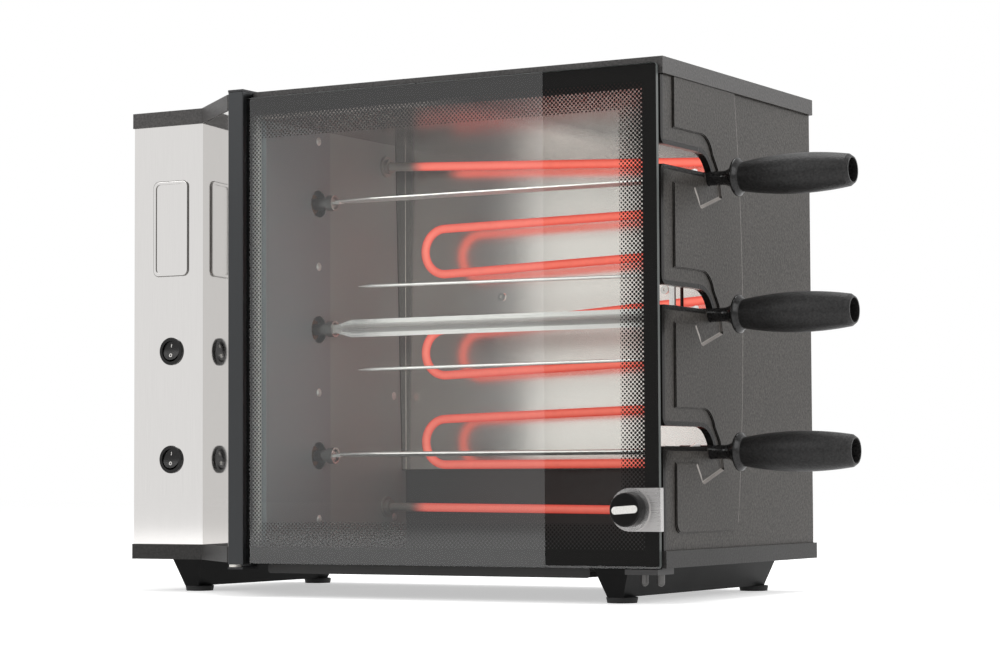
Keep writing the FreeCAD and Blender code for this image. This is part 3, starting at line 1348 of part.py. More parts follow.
def switch_housing(z):
    y = SETBACK + INSET
    bezel = rod_y(SWITCH_X, y - BEZEL_RISE, y, z, BEZEL_R)
    rim = [e for e in bezel.Edges if e.BoundBox.YMax < y - BEZEL_RISE + 0.01]
    bezel = bezel.makeFillet(SHEET, rim)
    barrel = rod_y(SWITCH_X, y, y + BARREL_DEPTH, z, SWITCH_HOLE_R - GLAND_CLEAR)
    well_r = ROCKER_R + ROCKER_CLEAR
    well = rod_y(SWITCH_X, y - 2 * BEZEL_RISE, y + BARREL_DEPTH / 2.0, z, well_r)
    reach = (well_r + SWITCH_HOLE_R) / 2.0
    pivot = rod_x(SWITCH_X - reach, SWITCH_X + reach, y + ROCKER_PIVOT_IN, z, ROCKER_PIVOT_R)
    lugs = [box(SWITCH_X + side - LUG_W / 2.0, SWITCH_X + side + LUG_W / 2.0,
                y + BARREL_DEPTH, y + BARREL_DEPTH + LUG_REACH, z - LUG_T / 2.0, z + LUG_T / 2.0)
            for side in (-LUG_OUT, LUG_OUT)]
    return fused([fused([bezel, barrel]).cut(well), pivot] + lugs)


def rocker(z):
    y = SETBACK + INSET
    pivot_y = y + ROCKER_PIVOT_IN
    cap = rod_y(SWITCH_X, y - ROCKER_RISE, y + ROCKER_DEPTH, z, ROCKER_R)
    dish_y = y - ROCKER_DISH_R - ROCKER_RISE + 1.0
    dish = rod_x(SWITCH_X - BEZEL_R, SWITCH_X + BEZEL_R, dish_y, z, ROCKER_DISH_R)
    bore = rod_x(SWITCH_X - BEZEL_R, SWITCH_X + BEZEL_R, pivot_y, z, ROCKER_PIVOT_R + PIN_CLEAR)
    cap = cap.cut(dish).cut(bore)
    cap.rotate(Vec(SWITCH_X, pivot_y, z), Vec(1, 0, 0), -ROCKER_TILT)
    return cap


# ---------------------------------------------------------------- skewers

def skewer_handle(z):
    """Turned grip with a flared collar, a neck for the seat and a hollow end."""
    y = SKEWER_Y
    bore = CORE_R + CORE_CLEAR
    start = -HANDLE_NECK_IN
    core_end = WAIST_X + CORE_PAST_WAIST
    hollow_x = HANDLE_END - GRIP_HOLLOW_DEPTH
    shoulder_r = COLLAR_R - COLLAR_ROUND

    def p(x, radius):
        return Vec(x, y, z + radius)

    edges = [
        line(p(start, bore), p(start, NECK_R)),
        line(p(start, NECK_R), p(NECK_END, NECK_R)),
        arc(p(NECK_END, NECK_R), p((NECK_END + FLARE_X) / 2.0, NECK_R * 1.2), p(FLARE_X, FLARE_R)),
        line(p(FLARE_X, FLARE_R), p(COLLAR_X, shoulder_r)),
        arc(p(COLLAR_X, shoulder_r), p(COLLAR_X + COLLAR_T / 2.0, COLLAR_R),
            p(COLLAR_X + COLLAR_T, shoulder_r)),
        line(p(COLLAR_X + COLLAR_T, shoulder_r), p(WAIST_X, WAIST_R)),
        arc(p(WAIST_X, WAIST_R), p(GRIP_X, GRIP_R), p(HANDLE_END - COLLAR_T, GRIP_END_R)),
        line(p(HANDLE_END - COLLAR_T, GRIP_END_R), p(HANDLE_END, GRIP_LIP_R)),
        line(p(HANDLE_END, GRIP_LIP_R), p(HANDLE_END, GRIP_HOLLOW_R)),
        line(p(HANDLE_END, GRIP_HOLLOW_R), p(hollow_x, GRIP_HOLLOW_END_R)),
        line(p(hollow_x, GRIP_HOLLOW_END_R), p(hollow_x, 0)),
        line(p(hollow_x, 0), p(core_end, 0)),
        line(p(core_end, 0), p(core_end, bore)),
        line(p(core_end, bore), p(start, bore)),
    ]
    return Part.Face(Part.Wire(edges)).revolve(Vec(0, y, z), Vec(1, 0, 0), 360)


def vee_section(width, depth, x, z):
    """Section of a single blade: a shallow V."""
    half = width / 2.0
    top = depth / 2.0
    side = BLADE_T / 4.0
    outline = [(-half, top), (0, -top), (half, top), (half - side, top + BLADE_T),
               (0, BLADE_T - top), (side - half, top + BLADE_T)]
    return section_wire(outline, x, z)


def grooved_section(width, depth, x, z):
    """Section of the middle blade: two flat bands either side of a V groove."""
    half = width / 2.0
    top = depth / 2.0
    lip = half * 2.0 * MIDDLE_FLAT / MIDDLE_W
    flat = half - lip
    outline = [(-half, top), (-flat, top), (0, -top), (flat, top), (half, top),
               (half, top - BLADE_T), (flat + BLADE_T / 2.0, top - BLADE_T),
               (0, -top - BLADE_T), (-flat - BLADE_T / 2.0, top - BLADE_T),
               (-half, top - BLADE_T)]
    return section_wire(outline, x, z)


def section_wire(outline, x, z):
    return Part.makePolygon([Vec(x, SKEWER_Y + a, z + b) for a, b in outline + [outline[0]]])


def skewer_blade(z, angle, section, width, depth, taper_length):
    """A rolled blade that narrows to its tang, with a round core for the handle."""
    root = -HANDLE_NECK_IN
    tip = SOCKET_X + TANG_T
    end = section(TANG_W, depth / 2.0, tip, z)
    middle = section(width, depth, tip + taper_length, z)
    start = section(width, depth, root, z)
    taper = Part.makeLoft([end, middle], True, True)
    body = Part.makeLoft([middle, start], True, True)
    tang = box(SOCKET_X - TANG_IN, tip + 2 * TANG_T, SKEWER_Y - TANG_W / 2.0,
               SKEWER_Y + TANG_W / 2.0, z - TANG_T / 2.0, z + TANG_T / 2.0)
    core = rod_x(root - 1.0, WAIST_X + 1.0, SKEWER_Y, z, CORE_R)
    blade = fused([taper, body, tang, core])
    blade.rotate(Vec(0, SKEWER_Y, z), Vec(1, 0, 0), angle)
    return blade


def skewer_prongs(z):
    """Two pointed side prongs and the bar that carries them on the middle blade."""
    y = SKEWER_Y
    x0 = CROSSBAR_X - CROSSBAR_W / 2.0
    x1 = CROSSBAR_X + CROSSBAR_W / 2.0
    bar_t = CROSSBAR_T / 2.0
    clasp_y = MIDDLE_DEPTH / 2.0 + BLADE_T
    half = MIDDLE_W / 2.0
    point_x = PRONG_TIP_FROM_WALL - WALL_X
    pieces = [box(x0, x1, y - bar_t, y + bar_t, z - PRONG_SPREAD_ROOT - PRONG_R,
                  z + PRONG_SPREAD_ROOT + PRONG_R)]
    clasp = box(x0, x1, y - clasp_y - CLASP_T, y + clasp_y + CLASP_T,
                z - half - CLASP_T, z + half + CLASP_T)
    for side in (-1, 1):
        root = Vec(CROSSBAR_X, y, z + side * PRONG_SPREAD_ROOT)
        tip = Vec(point_x + PRONG_POINT, y, z + side * PRONG_SPREAD_TIP)
        along = tip.sub(root)
        pieces.append(Part.makeCylinder(PRONG_R, along.Length, root, along))
        pieces.append(Part.makeCone(PRONG_R, PRONG_POINT_R, PRONG_POINT, tip, along))
    hole = box(x0 - 1, x1 + 1, y - clasp_y, y + clasp_y, z - half, z + half)
    return fused(pieces + [clasp]).cut(hole)


# ---------------------------------------------------------------- build

def main():
    os.makedirs("parts", exist_ok=True)
    for piece in (top_cover, base_pan, right_side_panel, left_side_panel, back_panel,
                  control_panel, left_inner_wall, chamber_back, back_reflector,
                  ceiling_liner, heating_element, element_support, element_bushings,
                  wall_screws, reflector_rivets, skewer_rest, foot_pads, tray_runners,
                  drip_tray, door_glass, door_stile, stile_caps, top_hinge_plate,
                  bottom_hinge_plate, hinge_washer, knob_bracket, knob_disc, door_knob,
                  knob_screw, door_catch, catch_studs, gear_plates, gear_posts,
                  spindle_bushes, idler_axles, gearmotor, motor_pinion, terminal_block,
                  cable_gland, cover_screws):
        export(piece.__name__, piece())
    export("foot_rail_right", foot_rail(-RAIL_X, RAIL_FRONT_RIGHT))
    export("foot_rail_left", foot_rail(RAIL_X - BODY_W, RAIL_FRONT_LEFT))
    export("switch_housings", [switch_housing(z) for z in SWITCH_Z])
    export("rocker_lower", rocker(SWITCH_Z[0]))
    export("rocker_upper", rocker(SWITCH_Z[1]))
    for number, z in enumerate(IDLER_Z, 1):
        export("idler_gear_%d" % number, hubbed_gear(z, IDLER_PIN_R + PIN_CLEAR))
    single = (vee_section, SINGLE_W, SINGLE_DEPTH, SINGLE_TAPER)
    grooved = (grooved_section, MIDDLE_W, MIDDLE_DEPTH, MIDDLE_TAPER)
    blades = zip(SKEWER_Z, BLADE_ANGLES, (single, grooved, single))
    for number, (z, angle, blade) in enumerate(blades, 1):
        export("spindle_gear_%d" % number, hubbed_gear(z, SHAFT_R + SHAFT_CLEAR))
        export("drive_socket_%d" % number, drive_socket(z, angle))
        export("skewer_handle_%d" % number, skewer_handle(z))
        export("skewer_blade_%d" % number, skewer_blade(z, angle, *blade))
    export("skewer_prongs", skewer_prongs(SKEWER_Z[1]))


main()
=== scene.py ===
import math

import bmesh
import bpy
from mathutils import Matrix, Vector


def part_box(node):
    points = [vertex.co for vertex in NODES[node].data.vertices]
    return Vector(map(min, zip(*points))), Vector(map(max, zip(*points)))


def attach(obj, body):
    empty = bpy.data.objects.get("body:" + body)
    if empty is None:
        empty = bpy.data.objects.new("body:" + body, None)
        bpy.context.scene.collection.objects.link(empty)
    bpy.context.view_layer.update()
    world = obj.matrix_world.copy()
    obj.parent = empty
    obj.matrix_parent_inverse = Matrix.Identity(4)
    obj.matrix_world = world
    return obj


bl_info = {
    "name": "Skewer grill finishes",
    "version": (1, 0, 0),
    "blender": (4, 5, 0),
    "location": "View3D > Sidebar > Grill",
    "description": "Finishes and small trim for an upright electric skewer grill",
    "category": "Object",
}

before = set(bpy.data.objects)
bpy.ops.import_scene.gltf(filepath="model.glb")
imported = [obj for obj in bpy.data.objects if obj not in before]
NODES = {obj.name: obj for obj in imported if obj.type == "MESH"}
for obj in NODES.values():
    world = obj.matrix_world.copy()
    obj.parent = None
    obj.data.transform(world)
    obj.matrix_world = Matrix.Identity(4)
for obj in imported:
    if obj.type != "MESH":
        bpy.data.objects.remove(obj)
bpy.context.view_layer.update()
MM = 0.001

# Places on the casing that no node's box gives.
CASING_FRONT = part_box("right_side_panel")[0][1] - 1.2 * MM
ROCKER_PIVOT_Y = -86.2 * MM
BADGE_X, BADGE_Z = -314.0 * MM, 339.0 * MM
BADGE_HALF_W, BADGE_HALF_H = 20.0 * MM, 45.0 * MM
JAMB_LEFT, JAMB_RIGHT = -190.5 * MM, 0.0
WALL_TONE_STEP_Y = -37.4 * MM


# ---------------------------------------------------------------- helpers

def linear(code):
    """An sRGB hex value as linear red, green, blue."""
    channels = [int(code[i:i + 2], 16) / 255.0 for i in (1, 3, 5)]
    return tuple(c / 12.92 if c <= 0.04045 else ((c + 0.055) / 1.055) ** 2.4 for c in channels)


def rgba(colour):
    """A colour as a socket takes it, opaque."""
    return (colour[0], colour[1], colour[2], 1.0)


WHITE = rgba(linear("#ffffff"))


def add(tree, kind, inputs=(), **settings):
    """Adds one node with its settings.

    inputs gives, by name or in order, what goes into each input: a value, a socket, or
    a node, which stands for its first output."""
    node = tree.nodes.new("ShaderNode" + kind)
    for key, value in settings.items():
        setattr(node, key, value)
    for key, value in inputs.items() if isinstance(inputs, dict) else enumerate(inputs):
        if isinstance(value, bpy.types.Node):
            value = next(output for output in value.outputs if output.enabled)
        if isinstance(value, bpy.types.NodeSocket):
            tree.links.new(value, node.inputs[key])
        else:
            node.inputs[key].default_value = value
    return node


def new_material(name):
    material = bpy.data.materials.new(name)
    material.use_nodes = True
    material.node_tree.nodes.clear()
    return material, material.node_tree


def place(tree, scale=(1, 1, 1)):
    """Object coordinates, stretched."""
    coords = add(tree, "TexCoord").outputs["Object"]
    return add(tree, "Mapping", {"Vector": coords, "Scale": scale})


def sides(tree, kind="Object"):
    """A texture coordinate's x, y and z as sockets."""
    parts = add(tree, "SeparateXYZ", [add(tree, "TexCoord").outputs[kind]])
    return [parts.outputs[axis] for axis in "XYZ"]


def distance(tree, u, v):
    """How far the point (u, v) is from (0, 0)."""
    squares = [add(tree, "Math", (side, side), operation="MULTIPLY") for side in (u, v)]
    total = add(tree, "Math", squares, operation="ADD")
    return add(tree, "Math", [total], operation="SQRT")


def band(tree, value, low, high, blur):
    """1 where a value lies between two limits, 0 outside, over a blur."""
    past_low = add(tree, "Math", (value, low), operation="SUBTRACT")
    to_high = add(tree, "Math", (high, value), operation="SUBTRACT")
    ramps = [add(tree, "Math", (reach, blur), operation="DIVIDE", use_clamp=True)
             for reach in (past_low, to_high)]
    return add(tree, "Math", ramps, operation="MULTIPLY")


def near_line(tree, u, v, start, end, width):
    """1 where the point (u, v) lies within a width of a line between two points."""
    length = math.dist(start, end)
    along_u, along_v = [(b - a) / length for a, b in zip(start, end)]
    from_start = [add(tree, "Math", (side, origin), operation="SUBTRACT")
                  for side, origin in zip((u, v), start)]
    along = [add(tree, "Math", (side, share), operation="MULTIPLY")
             for side, share in zip(from_start, (along_u, along_v))]
    across = [add(tree, "Math", (side, share), operation="MULTIPLY")
              for side, share in zip(from_start, (along_v, along_u))]
    along = add(tree, "Math", along, operation="ADD")
    across = add(tree, "Math", across, operation="SUBTRACT")
    return add(tree, "Math", (band(tree, along, 0.0, length, width),
                              band(tree, across, -width, width, width / 2.0)),
               operation="MULTIPLY")


def layer(material, mask, colour, rough=None, metallic=None, shine=None):
    """Lays another finish over a material where mask, made from its tree, is 1."""
    tree = material.node_tree
    shader = next(n for n in tree.nodes if n.type == "BSDF_PRINCIPLED")
    where = mask(tree)
    finish = {"Base Color": rgba(colour), "Roughness": rough, "Metallic": metallic,
              "Specular IOR Level": shine}
    for name, over in finish.items():
        if over is None:
            continue
        socket = shader.inputs[name]
        under = socket.links[0].from_socket if socket.is_linked else socket.default_value
        mixed = add(tree, "Mix", {"Factor": where, "A": under, "B": over},
                    data_type="RGBA" if name == "Base Color" else "FLOAT")
        tree.links.new(mixed.outputs["Result"], socket)


def dress(material, *names):
    """Gives every material slot of the named CAD nodes one material."""
    for name in names:
        for slot in NODES[name].material_slots:
            slot.material = material


def new_object(name, work, material):
    """Turns a bmesh into an object of one material."""
    mesh = bpy.data.meshes.new(name)
    work.to_mesh(mesh)
    work.free()
    mesh.materials.append(material)
    made = bpy.data.objects.new(name, mesh)
    bpy.context.collection.objects.link(made)
    return made


def settings():
    return bpy.context.scene.grill_finish


# ---------------------------------------------------------------- materials

def grained(name, colour, rough, grain_mm, depth, metallic=0.0, speck=0.0, rim=None,
            shine=0.5, smooth=None, contrast=0.18):
    """A moulded or powder-coated surface: fine bumps, slow tone changes, slight wear.

    rim is the colour of a painted shade, smooth and shiny, on faces that turn away from x
    and on a strip at the front edge, and smooth is the x where a polished part ends and the
    grain begins."""
    tone_swing, rough_swing, clouds_per_m = 0.12, 0.06, 18.0
    bump_per_grain = 0.16
    material, tree = new_material(name)
    grain = add(tree, "TexNoise", {
        "Vector": place(tree, (1.0 / (grain_mm * MM),) * 3), "Scale": 1.0, "Detail": 3.0,
        "Roughness": 0.6})
    cloud = add(tree, "TexNoise", {
        "Vector": place(tree, (clouds_per_m,) * 3), "Scale": 1.0, "Detail": 2.0})
    dark = [c * (1.0 - tone_swing) for c in colour]
    light = [min(1.0, c * (1.0 + tone_swing) + speck) for c in colour]
    tone = add(tree, "Mix", {"Factor": cloud, "A": rgba(dark), "B": rgba(light)},
               data_type="RGBA")
    fleck = add(tree, "MapRange", {
        "Value": grain, "From Min": 0.3, "From Max": 0.7, "To Min": 1.0 - contrast,
        "To Max": 1.0 + contrast})
    tint = add(tree, "VectorMath", {"Vector": tone, "Scale": fleck}, operation="SCALE")
    roughness = add(tree, "MapRange", {
        "Value": cloud, "To Min": rough - rough_swing, "To Max": rough + rough_swing})
    strength = depth
    if rim:
        across = add(tree, "Math", [sides(tree, "Normal")[0]], operation="ABSOLUTE")
        level = add(tree, "MapRange", {"Value": across, "From Min": 0.3, "From Max": 0.6},
                    interpolation_type="SMOOTHSTEP")
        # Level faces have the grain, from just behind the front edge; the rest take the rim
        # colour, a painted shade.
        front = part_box("right_side_panel")[0][1]
        inner = add(tree, "MapRange", {
            "Value": sides(tree)[1], "From Min": front + 2 * MM, "From Max": front + 8 * MM},
            interpolation_type="SMOOTHSTEP")
        flat = add(tree, "Math", (level, inner), operation="MULTIPLY")
        tint = add(tree, "Mix", {"Factor": flat, "A": rgba(rim), "B": tint}, data_type="RGBA")
        # The rim has half the roughness.
        rough_share = add(tree, "Math", (flat, 0.5, 0.5), operation="MULTIPLY_ADD")
        roughness = add(tree, "Math", (roughness, rough_share), operation="MULTIPLY")
        strength = add(tree, "Math", (flat, depth), operation="MULTIPLY")
    if smooth is not None:
        grainy = add(tree, "MapRange", {
            "Value": sides(tree)[0], "From Min": smooth - MM, "From Max": smooth + MM},
            interpolation_type="SMOOTHSTEP")
        # The polished part has 0.4 of the roughness.
        rough_share = add(tree, "Math", (grainy, 0.6, 0.4), operation="MULTIPLY_ADD")
        roughness = add(tree, "Math", (roughness, rough_share), operation="MULTIPLY")
        strength = add(tree, "Math", (grainy, depth), operation="MULTIPLY")
    bump = add(tree, "Bump", {
        "Height": grain, "Strength": strength, "Distance": bump_per_grain * MM * grain_mm})
    shader = add(tree, "BsdfPrincipled", {
        "Base Color": tint, "Roughness": roughness, "Normal": bump, "Metallic": metallic,
        "Specular IOR Level": shine})
    add(tree, "OutputMaterial", {"Surface": shader})
    return material


def brushed(name, colour, rough, line_mm, along, strength=0.15, behind=None, split=0.0,
            soft=2.0, metallic=1.0):
    """A metal sheet or bar with fine lines along one axis.

    behind is the colour that it turns to past y = split, over soft mm either side."""
    widths_per_line = 120.0
    material, tree = new_material(name)
    fine = 1.0 / (line_mm * MM)
    stretch = [fine / widths_per_line if axis == along else fine for axis in "XYZ"]
    lines = add(tree, "TexNoise", {
        "Vector": place(tree, stretch), "Scale": 1.0, "Detail": 4.0, "Roughness": 0.65})
    smudge = add(tree, "TexNoise", {"Vector": place(tree), "Scale": 9.0, "Detail": 3.0})
    tone = add(tree, "MapRange", {"Value": lines, "To Min": 0.9, "To Max": 1.06})
    shade = colour
    if behind:
        past = add(tree, "MapRange", {
            "Value": sides(tree)[1], "From Min": split - soft * MM,
            "From Max": split + soft * MM}, interpolation_type="SMOOTHSTEP")
        shade = add(tree, "Mix", {"Factor": past, "A": rgba(colour), "B": rgba(behind)},
                    data_type="RGBA")
    tint = add(tree, "VectorMath", {"Vector": shade, "Scale": tone}, operation="SCALE")
    mixed = add(tree, "Math", (lines, smudge), operation="MULTIPLY")
    roughness = add(tree, "MapRange", {
        "Value": mixed, "From Max": 0.5, "To Min": rough * 0.75, "To Max": rough * 1.3})
    bump = add(tree, "Bump", {"Height": lines, "Strength": strength, "Distance": 0.02 * MM})
    shader = add(tree, "BsdfPrincipled", {
        "Base Color": tint, "Roughness": roughness, "Normal": bump, "Metallic": metallic})
    add(tree, "OutputMaterial", {"Surface": shader})
    return material


def printed_dots(tree, x, z, inward, finish):
    """1 where the pane is printed: a solid border, then staggered dots, smaller the
    further inward, over the width of the dotted band."""
    share = add(tree, "Math", (inward, finish.dot_fade), operation="DIVIDE")
    off_middle = []
    for slant in ("ADD", "SUBTRACT"):
        row = add(tree, "Math", (x, z), operation=slant)
        row = add(tree, "Math", (row, finish.dot_pitch), operation="DIVIDE")
        row = add(tree, "Math", [row], operation="FRACT")
        off_middle.append(add(tree, "Math", (row, 0.5), operation="SUBTRACT"))
    # In shares of the pitch: 0.5 at the border, where neighbours touch, down to 0.3.
    radius = add(tree, "Math", (share, -0.2, 0.5), operation="MULTIPLY_ADD")
    inside = add(tree, "Math", (distance(tree, *off_middle), radius), operation="LESS_THAN")
    fading = add(tree, "Math", (share, 1.0), operation="LESS_THAN")
    dots = add(tree, "Math", (inside, fading), operation="MULTIPLY")
    border = add(tree, "Math", (share, 0.0), operation="LESS_THAN")
    return add(tree, "Math", (border, dots), operation="MAXIMUM")


def printed_glass(name, finish):
    """Toughened glass with a fired black border that fades out in staggered dots.

    The pane is thin, so it doesn't bend what is seen through it. The outer faces
    carry the gloss of both, so their index is above the glass's own."""
    material, tree = new_material(name)
    low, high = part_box("door_glass")
    stile_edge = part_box("door_stile")[1][0]
    x, y, z = sides(tree)
    solid, under_stile = finish.border, 8 * MM
    inward = [add(tree, "Math", pair, operation="SUBTRACT") for pair in (
        (high[0] - solid, x), (high[2] - solid, z), (z, low[2] + solid),
        (x, stile_edge - under_stile))]
    nearest = [add(tree, "Math", pair, operation="MINIMUM") for pair in (inward[:2], inward[2:])]
    nearest = add(tree, "Math", nearest, operation="MINIMUM")
    rear = add(tree, "Math", (y, (low[1] + high[1]) / 2.0), operation="GREATER_THAN")
    printed = add(tree, "Math", (printed_dots(tree, x, z, nearest, finish), rear),
                  operation="MULTIPLY")
    through = add(tree, "BsdfTransparent", {"Color": rgba(finish.glass_tint)})
    mirror = add(tree, "BsdfGlossy", {"Color": WHITE, "Roughness": 0.0})
    inner = add(tree, "NewGeometry").outputs["Backfacing"]
    outer = add(tree, "Math", (1.0, inner), operation="SUBTRACT")
    gloss = add(tree, "Math", (outer, add(tree, "Fresnel", {"IOR": 1.66})),
                operation="MULTIPLY")
    pane = add(tree, "MixShader", (gloss, through, mirror))
    # Fired enamel ink, matt from behind.
    ink = add(tree, "BsdfPrincipled", {
        "Base Color": rgba(finish.border_ink), "Roughness": 0.6, "Specular IOR Level": 0.0})
    face = add(tree, "MixShader", (printed, pane, ink))
    # Ground edge, a dull grey green.
    ground = add(tree, "BsdfPrincipled", {
        "Base Color": rgba(linear("#484d4b")), "Roughness": 0.5})
    facing = add(tree, "Math", [sides(tree, "Normal")[1]], operation="ABSOLUTE")
    edge = add(tree, "Math", (facing, 0.5), operation="LESS_THAN")
    whole = add(tree, "MixShader", (edge, face, ground))
    add(tree, "OutputMaterial", {"Surface": whole})
    return material


def hot_sheath(name, finish):
    """Oxidised tube that glows between its cold ends."""
    material, tree = new_material(name)
    low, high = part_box("heating_element")
    x, _, z = sides(tree)
    hot_from = low[0] + finish.cold_length
    before, after = 6 * MM, 16 * MM
    warmth = add(tree, "MapRange", {
        "Value": x, "From Min": hot_from - before, "From Max": hot_from + after},
        interpolation_type="SMOOTHSTEP")
    oxide = add(tree, "TexNoise", {
        "Vector": add(tree, "TexCoord").outputs["Object"], "Scale": 220.0, "Detail": 4.0})
    # Towards its edges the tube glows in the darker edge colour: painted shade on the glow.
    facing = add(tree, "LayerWeight", {"Blend": 0.66}).outputs["Facing"]
    glow = add(tree, "Mix", {
        "Factor": facing, "A": rgba(finish.glow_core), "B": rgba(finish.glow_edge)},
        data_type="RGBA")
    uneven = add(tree, "MapRange", {"Value": oxide, "To Min": 0.9, "To Max": 1.1})
    # The upper loops run a little hotter than the lower ones.
    higher = add(tree, "MapRange", {
        "Value": z, "From Min": low[2], "From Max": high[2], "To Min": 0.78, "To Max": 1.1})
    power = warmth
    for share in (uneven, higher, finish.glow_strength):
        power = add(tree, "Math", (power, share), operation="MULTIPLY")
    bump = add(tree, "Bump", {"Height": oxide, "Strength": 0.2, "Distance": 0.05 * MM})
    sheath = add(tree, "Mix", {
        "Factor": warmth, "A": rgba(linear("#aaa49e")), "B": rgba(linear("#8a3a2c"))},
        data_type="RGBA")
    shader = add(tree, "BsdfPrincipled", {
        "Base Color": sheath, "Roughness": 0.55, "Metallic": 0.3, "Emission Color": glow,
        "Emission Strength": power, "Normal": bump})
    add(tree, "OutputMaterial", {"Surface": shader})
    return material


# ---------------------------------------------------------------- where finishes change

def over_seats(tree):
    """Depth, as y, and height over the nearest of the three skewer seats."""
    seats = [sum(corner[2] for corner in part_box("skewer_handle_%d" % number)) / 2.0
             for number in (1, 2, 3)]
    pitch = seats[1] - seats[0]
    _, y, z = sides(tree)
    over_first = add(tree, "Math", (z, seats[0]), operation="SUBTRACT")
    return y, add(tree, "Math", (over_first, pitch / 2.0, -pitch / 2.0), operation="WRAP")


def thick_edge_shade(tree):
    """Painted shade: dark, glossy paint drawn thick along the side panel's front edge and round
    its slots. Places are depths behind the casing's front and heights over the seat."""
    ahead, slot_end, sweep_low, tab_top = -10 * MM, 73.5 * MM, -7 * MM, 3 * MM
    y, rise = over_seats(tree)
    depth = add(tree, "Math", (y, CASING_FRONT), operation="SUBTRACT")
    front_edge = band(tree, depth, ahead, 5.5 * MM, MM)
    upper_edge = add(tree, "Math", (band(tree, rise, 15 * MM, 25.5 * MM, MM),
                                    band(tree, depth, ahead, slot_end, MM)),
                     operation="MULTIPLY")
    lower_edge = add(tree, "Math", (band(tree, rise, 0.0, 12 * MM, MM),
                                    band(tree, depth, ahead, 86 * MM, 2 * MM)),
                     operation="MULTIPLY")
    # The slot's swept rear edge is a ring about the point (slot_end, sweep_low).
    past_end = add(tree, "Math", (depth, slot_end), operation="SUBTRACT")
    over_low = add(tree, "Math", (rise, sweep_low), operation="SUBTRACT")
    ring = band(tree, distance(tree, past_end, over_low), 20 * MM, 32.5 * MM, MM)
    rear_part = add(tree, "Math", (band(tree, depth, slot_end - 0.5 * MM, 110 * MM, MM),
                                   band(tree, rise, -2 * MM, 40 * MM, 2 * MM)),
                    operation="MULTIPLY")
    rear_edge = add(tree, "Math", (ring, rear_part), operation="MULTIPLY")
    # Painted shade on the tab's corner below the slot's mouth, from full at 8 mm to nothing at
    # 24 mm.
    over_tab = add(tree, "Math", (rise, tab_top), operation="SUBTRACT")
    corner = add(tree, "Math", (24 * MM, distance(tree, depth, over_tab)),
                 operation="SUBTRACT")
    corner = add(tree, "Math", (corner, 16 * MM), operation="DIVIDE", use_clamp=True)
    mask = add(tree, "Math", (corner, 0.8), operation="MULTIPLY")
    for edge in (front_edge, upper_edge, lower_edge, rear_edge):
        mask = add(tree, "Math", (mask, edge), operation="MAXIMUM")
    return mask


def pressed_line_highlights(tree):
    """Painted highlights: thin pale lines on the side panel's pressed edges, below each seat
    and along the bowed crease behind the handles."""
    y, rise = over_seats(tree)
    # The V below a seat, as depths behind the casing's front and heights over the seat.
    corners = [(CASING_FRONT + depth * MM, height * MM) for depth, height in
               ((61.0, -10.0), (74.0, -26.3), (114.5, -14.2), (107.5, 6.0))]
    down, along, back = [near_line(tree, y, rise, a, b, 1.5 * MM)
                         for a, b in zip(corners, corners[1:])]
    # The V's rear side catches less light.
    back = add(tree, "Math", (back, 0.35), operation="MULTIPLY")
    vee = add(tree, "Math", (along, back), operation="MAXIMUM")
    vee = add(tree, "Math", (down, vee), operation="MAXIMUM")
    # The crease bows back by 14 mm at mid height, as a parabola.
    middle, half, deepest, bow = 248.5 * MM, 190.5 * MM, 157.0 * MM, 14.0 * MM
    off = add(tree, "Math", (sides(tree)[2], middle), operation="SUBTRACT")
    off = add(tree, "Math", (off, half), operation="DIVIDE")
    square = add(tree, "Math", (off, off), operation="MULTIPLY")
    bowed = add(tree, "Math", (square, -bow, CASING_FRONT + deepest),
                operation="MULTIPLY_ADD")
    behind = add(tree, "Math", (y, bowed), operation="SUBTRACT")
    crease = add(tree, "Math", (band(tree, behind, -1.6 * MM, 0.4 * MM, 0.6 * MM),
                                band(tree, off, -1.0, 1.0, 0.05)), operation="MULTIPLY")
    crease = add(tree, "Math", (crease, 0.8), operation="MULTIPLY")
    return add(tree, "Math", (vee, crease), operation="MAXIMUM")


def badge_edge_shade(tree):
    """The badge's rounded edges, painted with a dark line: a painted shade."""
    spread, blur = 3 * MM, 0.5 * MM
    across, upright = BADGE_HALF_W + spread, BADGE_HALF_H + spread
    x, _, z = sides(tree)
    facing = add(tree, "Math", [sides(tree, "Normal")[1]], operation="ABSOLUTE")
    turned = add(tree, "Math", (facing, 0.985), operation="LESS_THAN")
    badge = add(tree, "Math", (band(tree, x, BADGE_X - across, BADGE_X + across, blur),
                               band(tree, z, BADGE_Z - upright, BADGE_Z + upright, blur)),
                operation="MULTIPLY")
    return add(tree, "Math", (turned, badge), operation="MULTIPLY")


def wall_lip_highlight(tree):
    """The narrow lip at the wall's front, painted paler: a painted highlight."""
    left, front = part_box("left_inner_wall")[0][:2]
    x, y, _ = sides(tree)
    return add(tree, "Math", (band(tree, y, front - MM, front + 1.5 * MM, 0.3 * MM),
                              band(tree, x, left - MM, left + 4.5 * MM, MM)),
               operation="MULTIPLY")


def ceiling_shade_and_reflection(tree):
    """The right part of the ceiling, over the handles' end: painted shade with a painted red
    reflection of the element.
    """
    return add(tree, "Math", (sides(tree)[0], 50 * MM), operation="DIVIDE", use_clamp=True)


def jamb_highlight(tree):
    """The part of the column's sheet that folds round to the door, painted paler and duller as a
    highlight.
    """
    return band(tree, sides(tree)[0], JAMB_LEFT, JAMB_RIGHT, 0.5 * MM)


# ---------------------------------------------------------------- properties

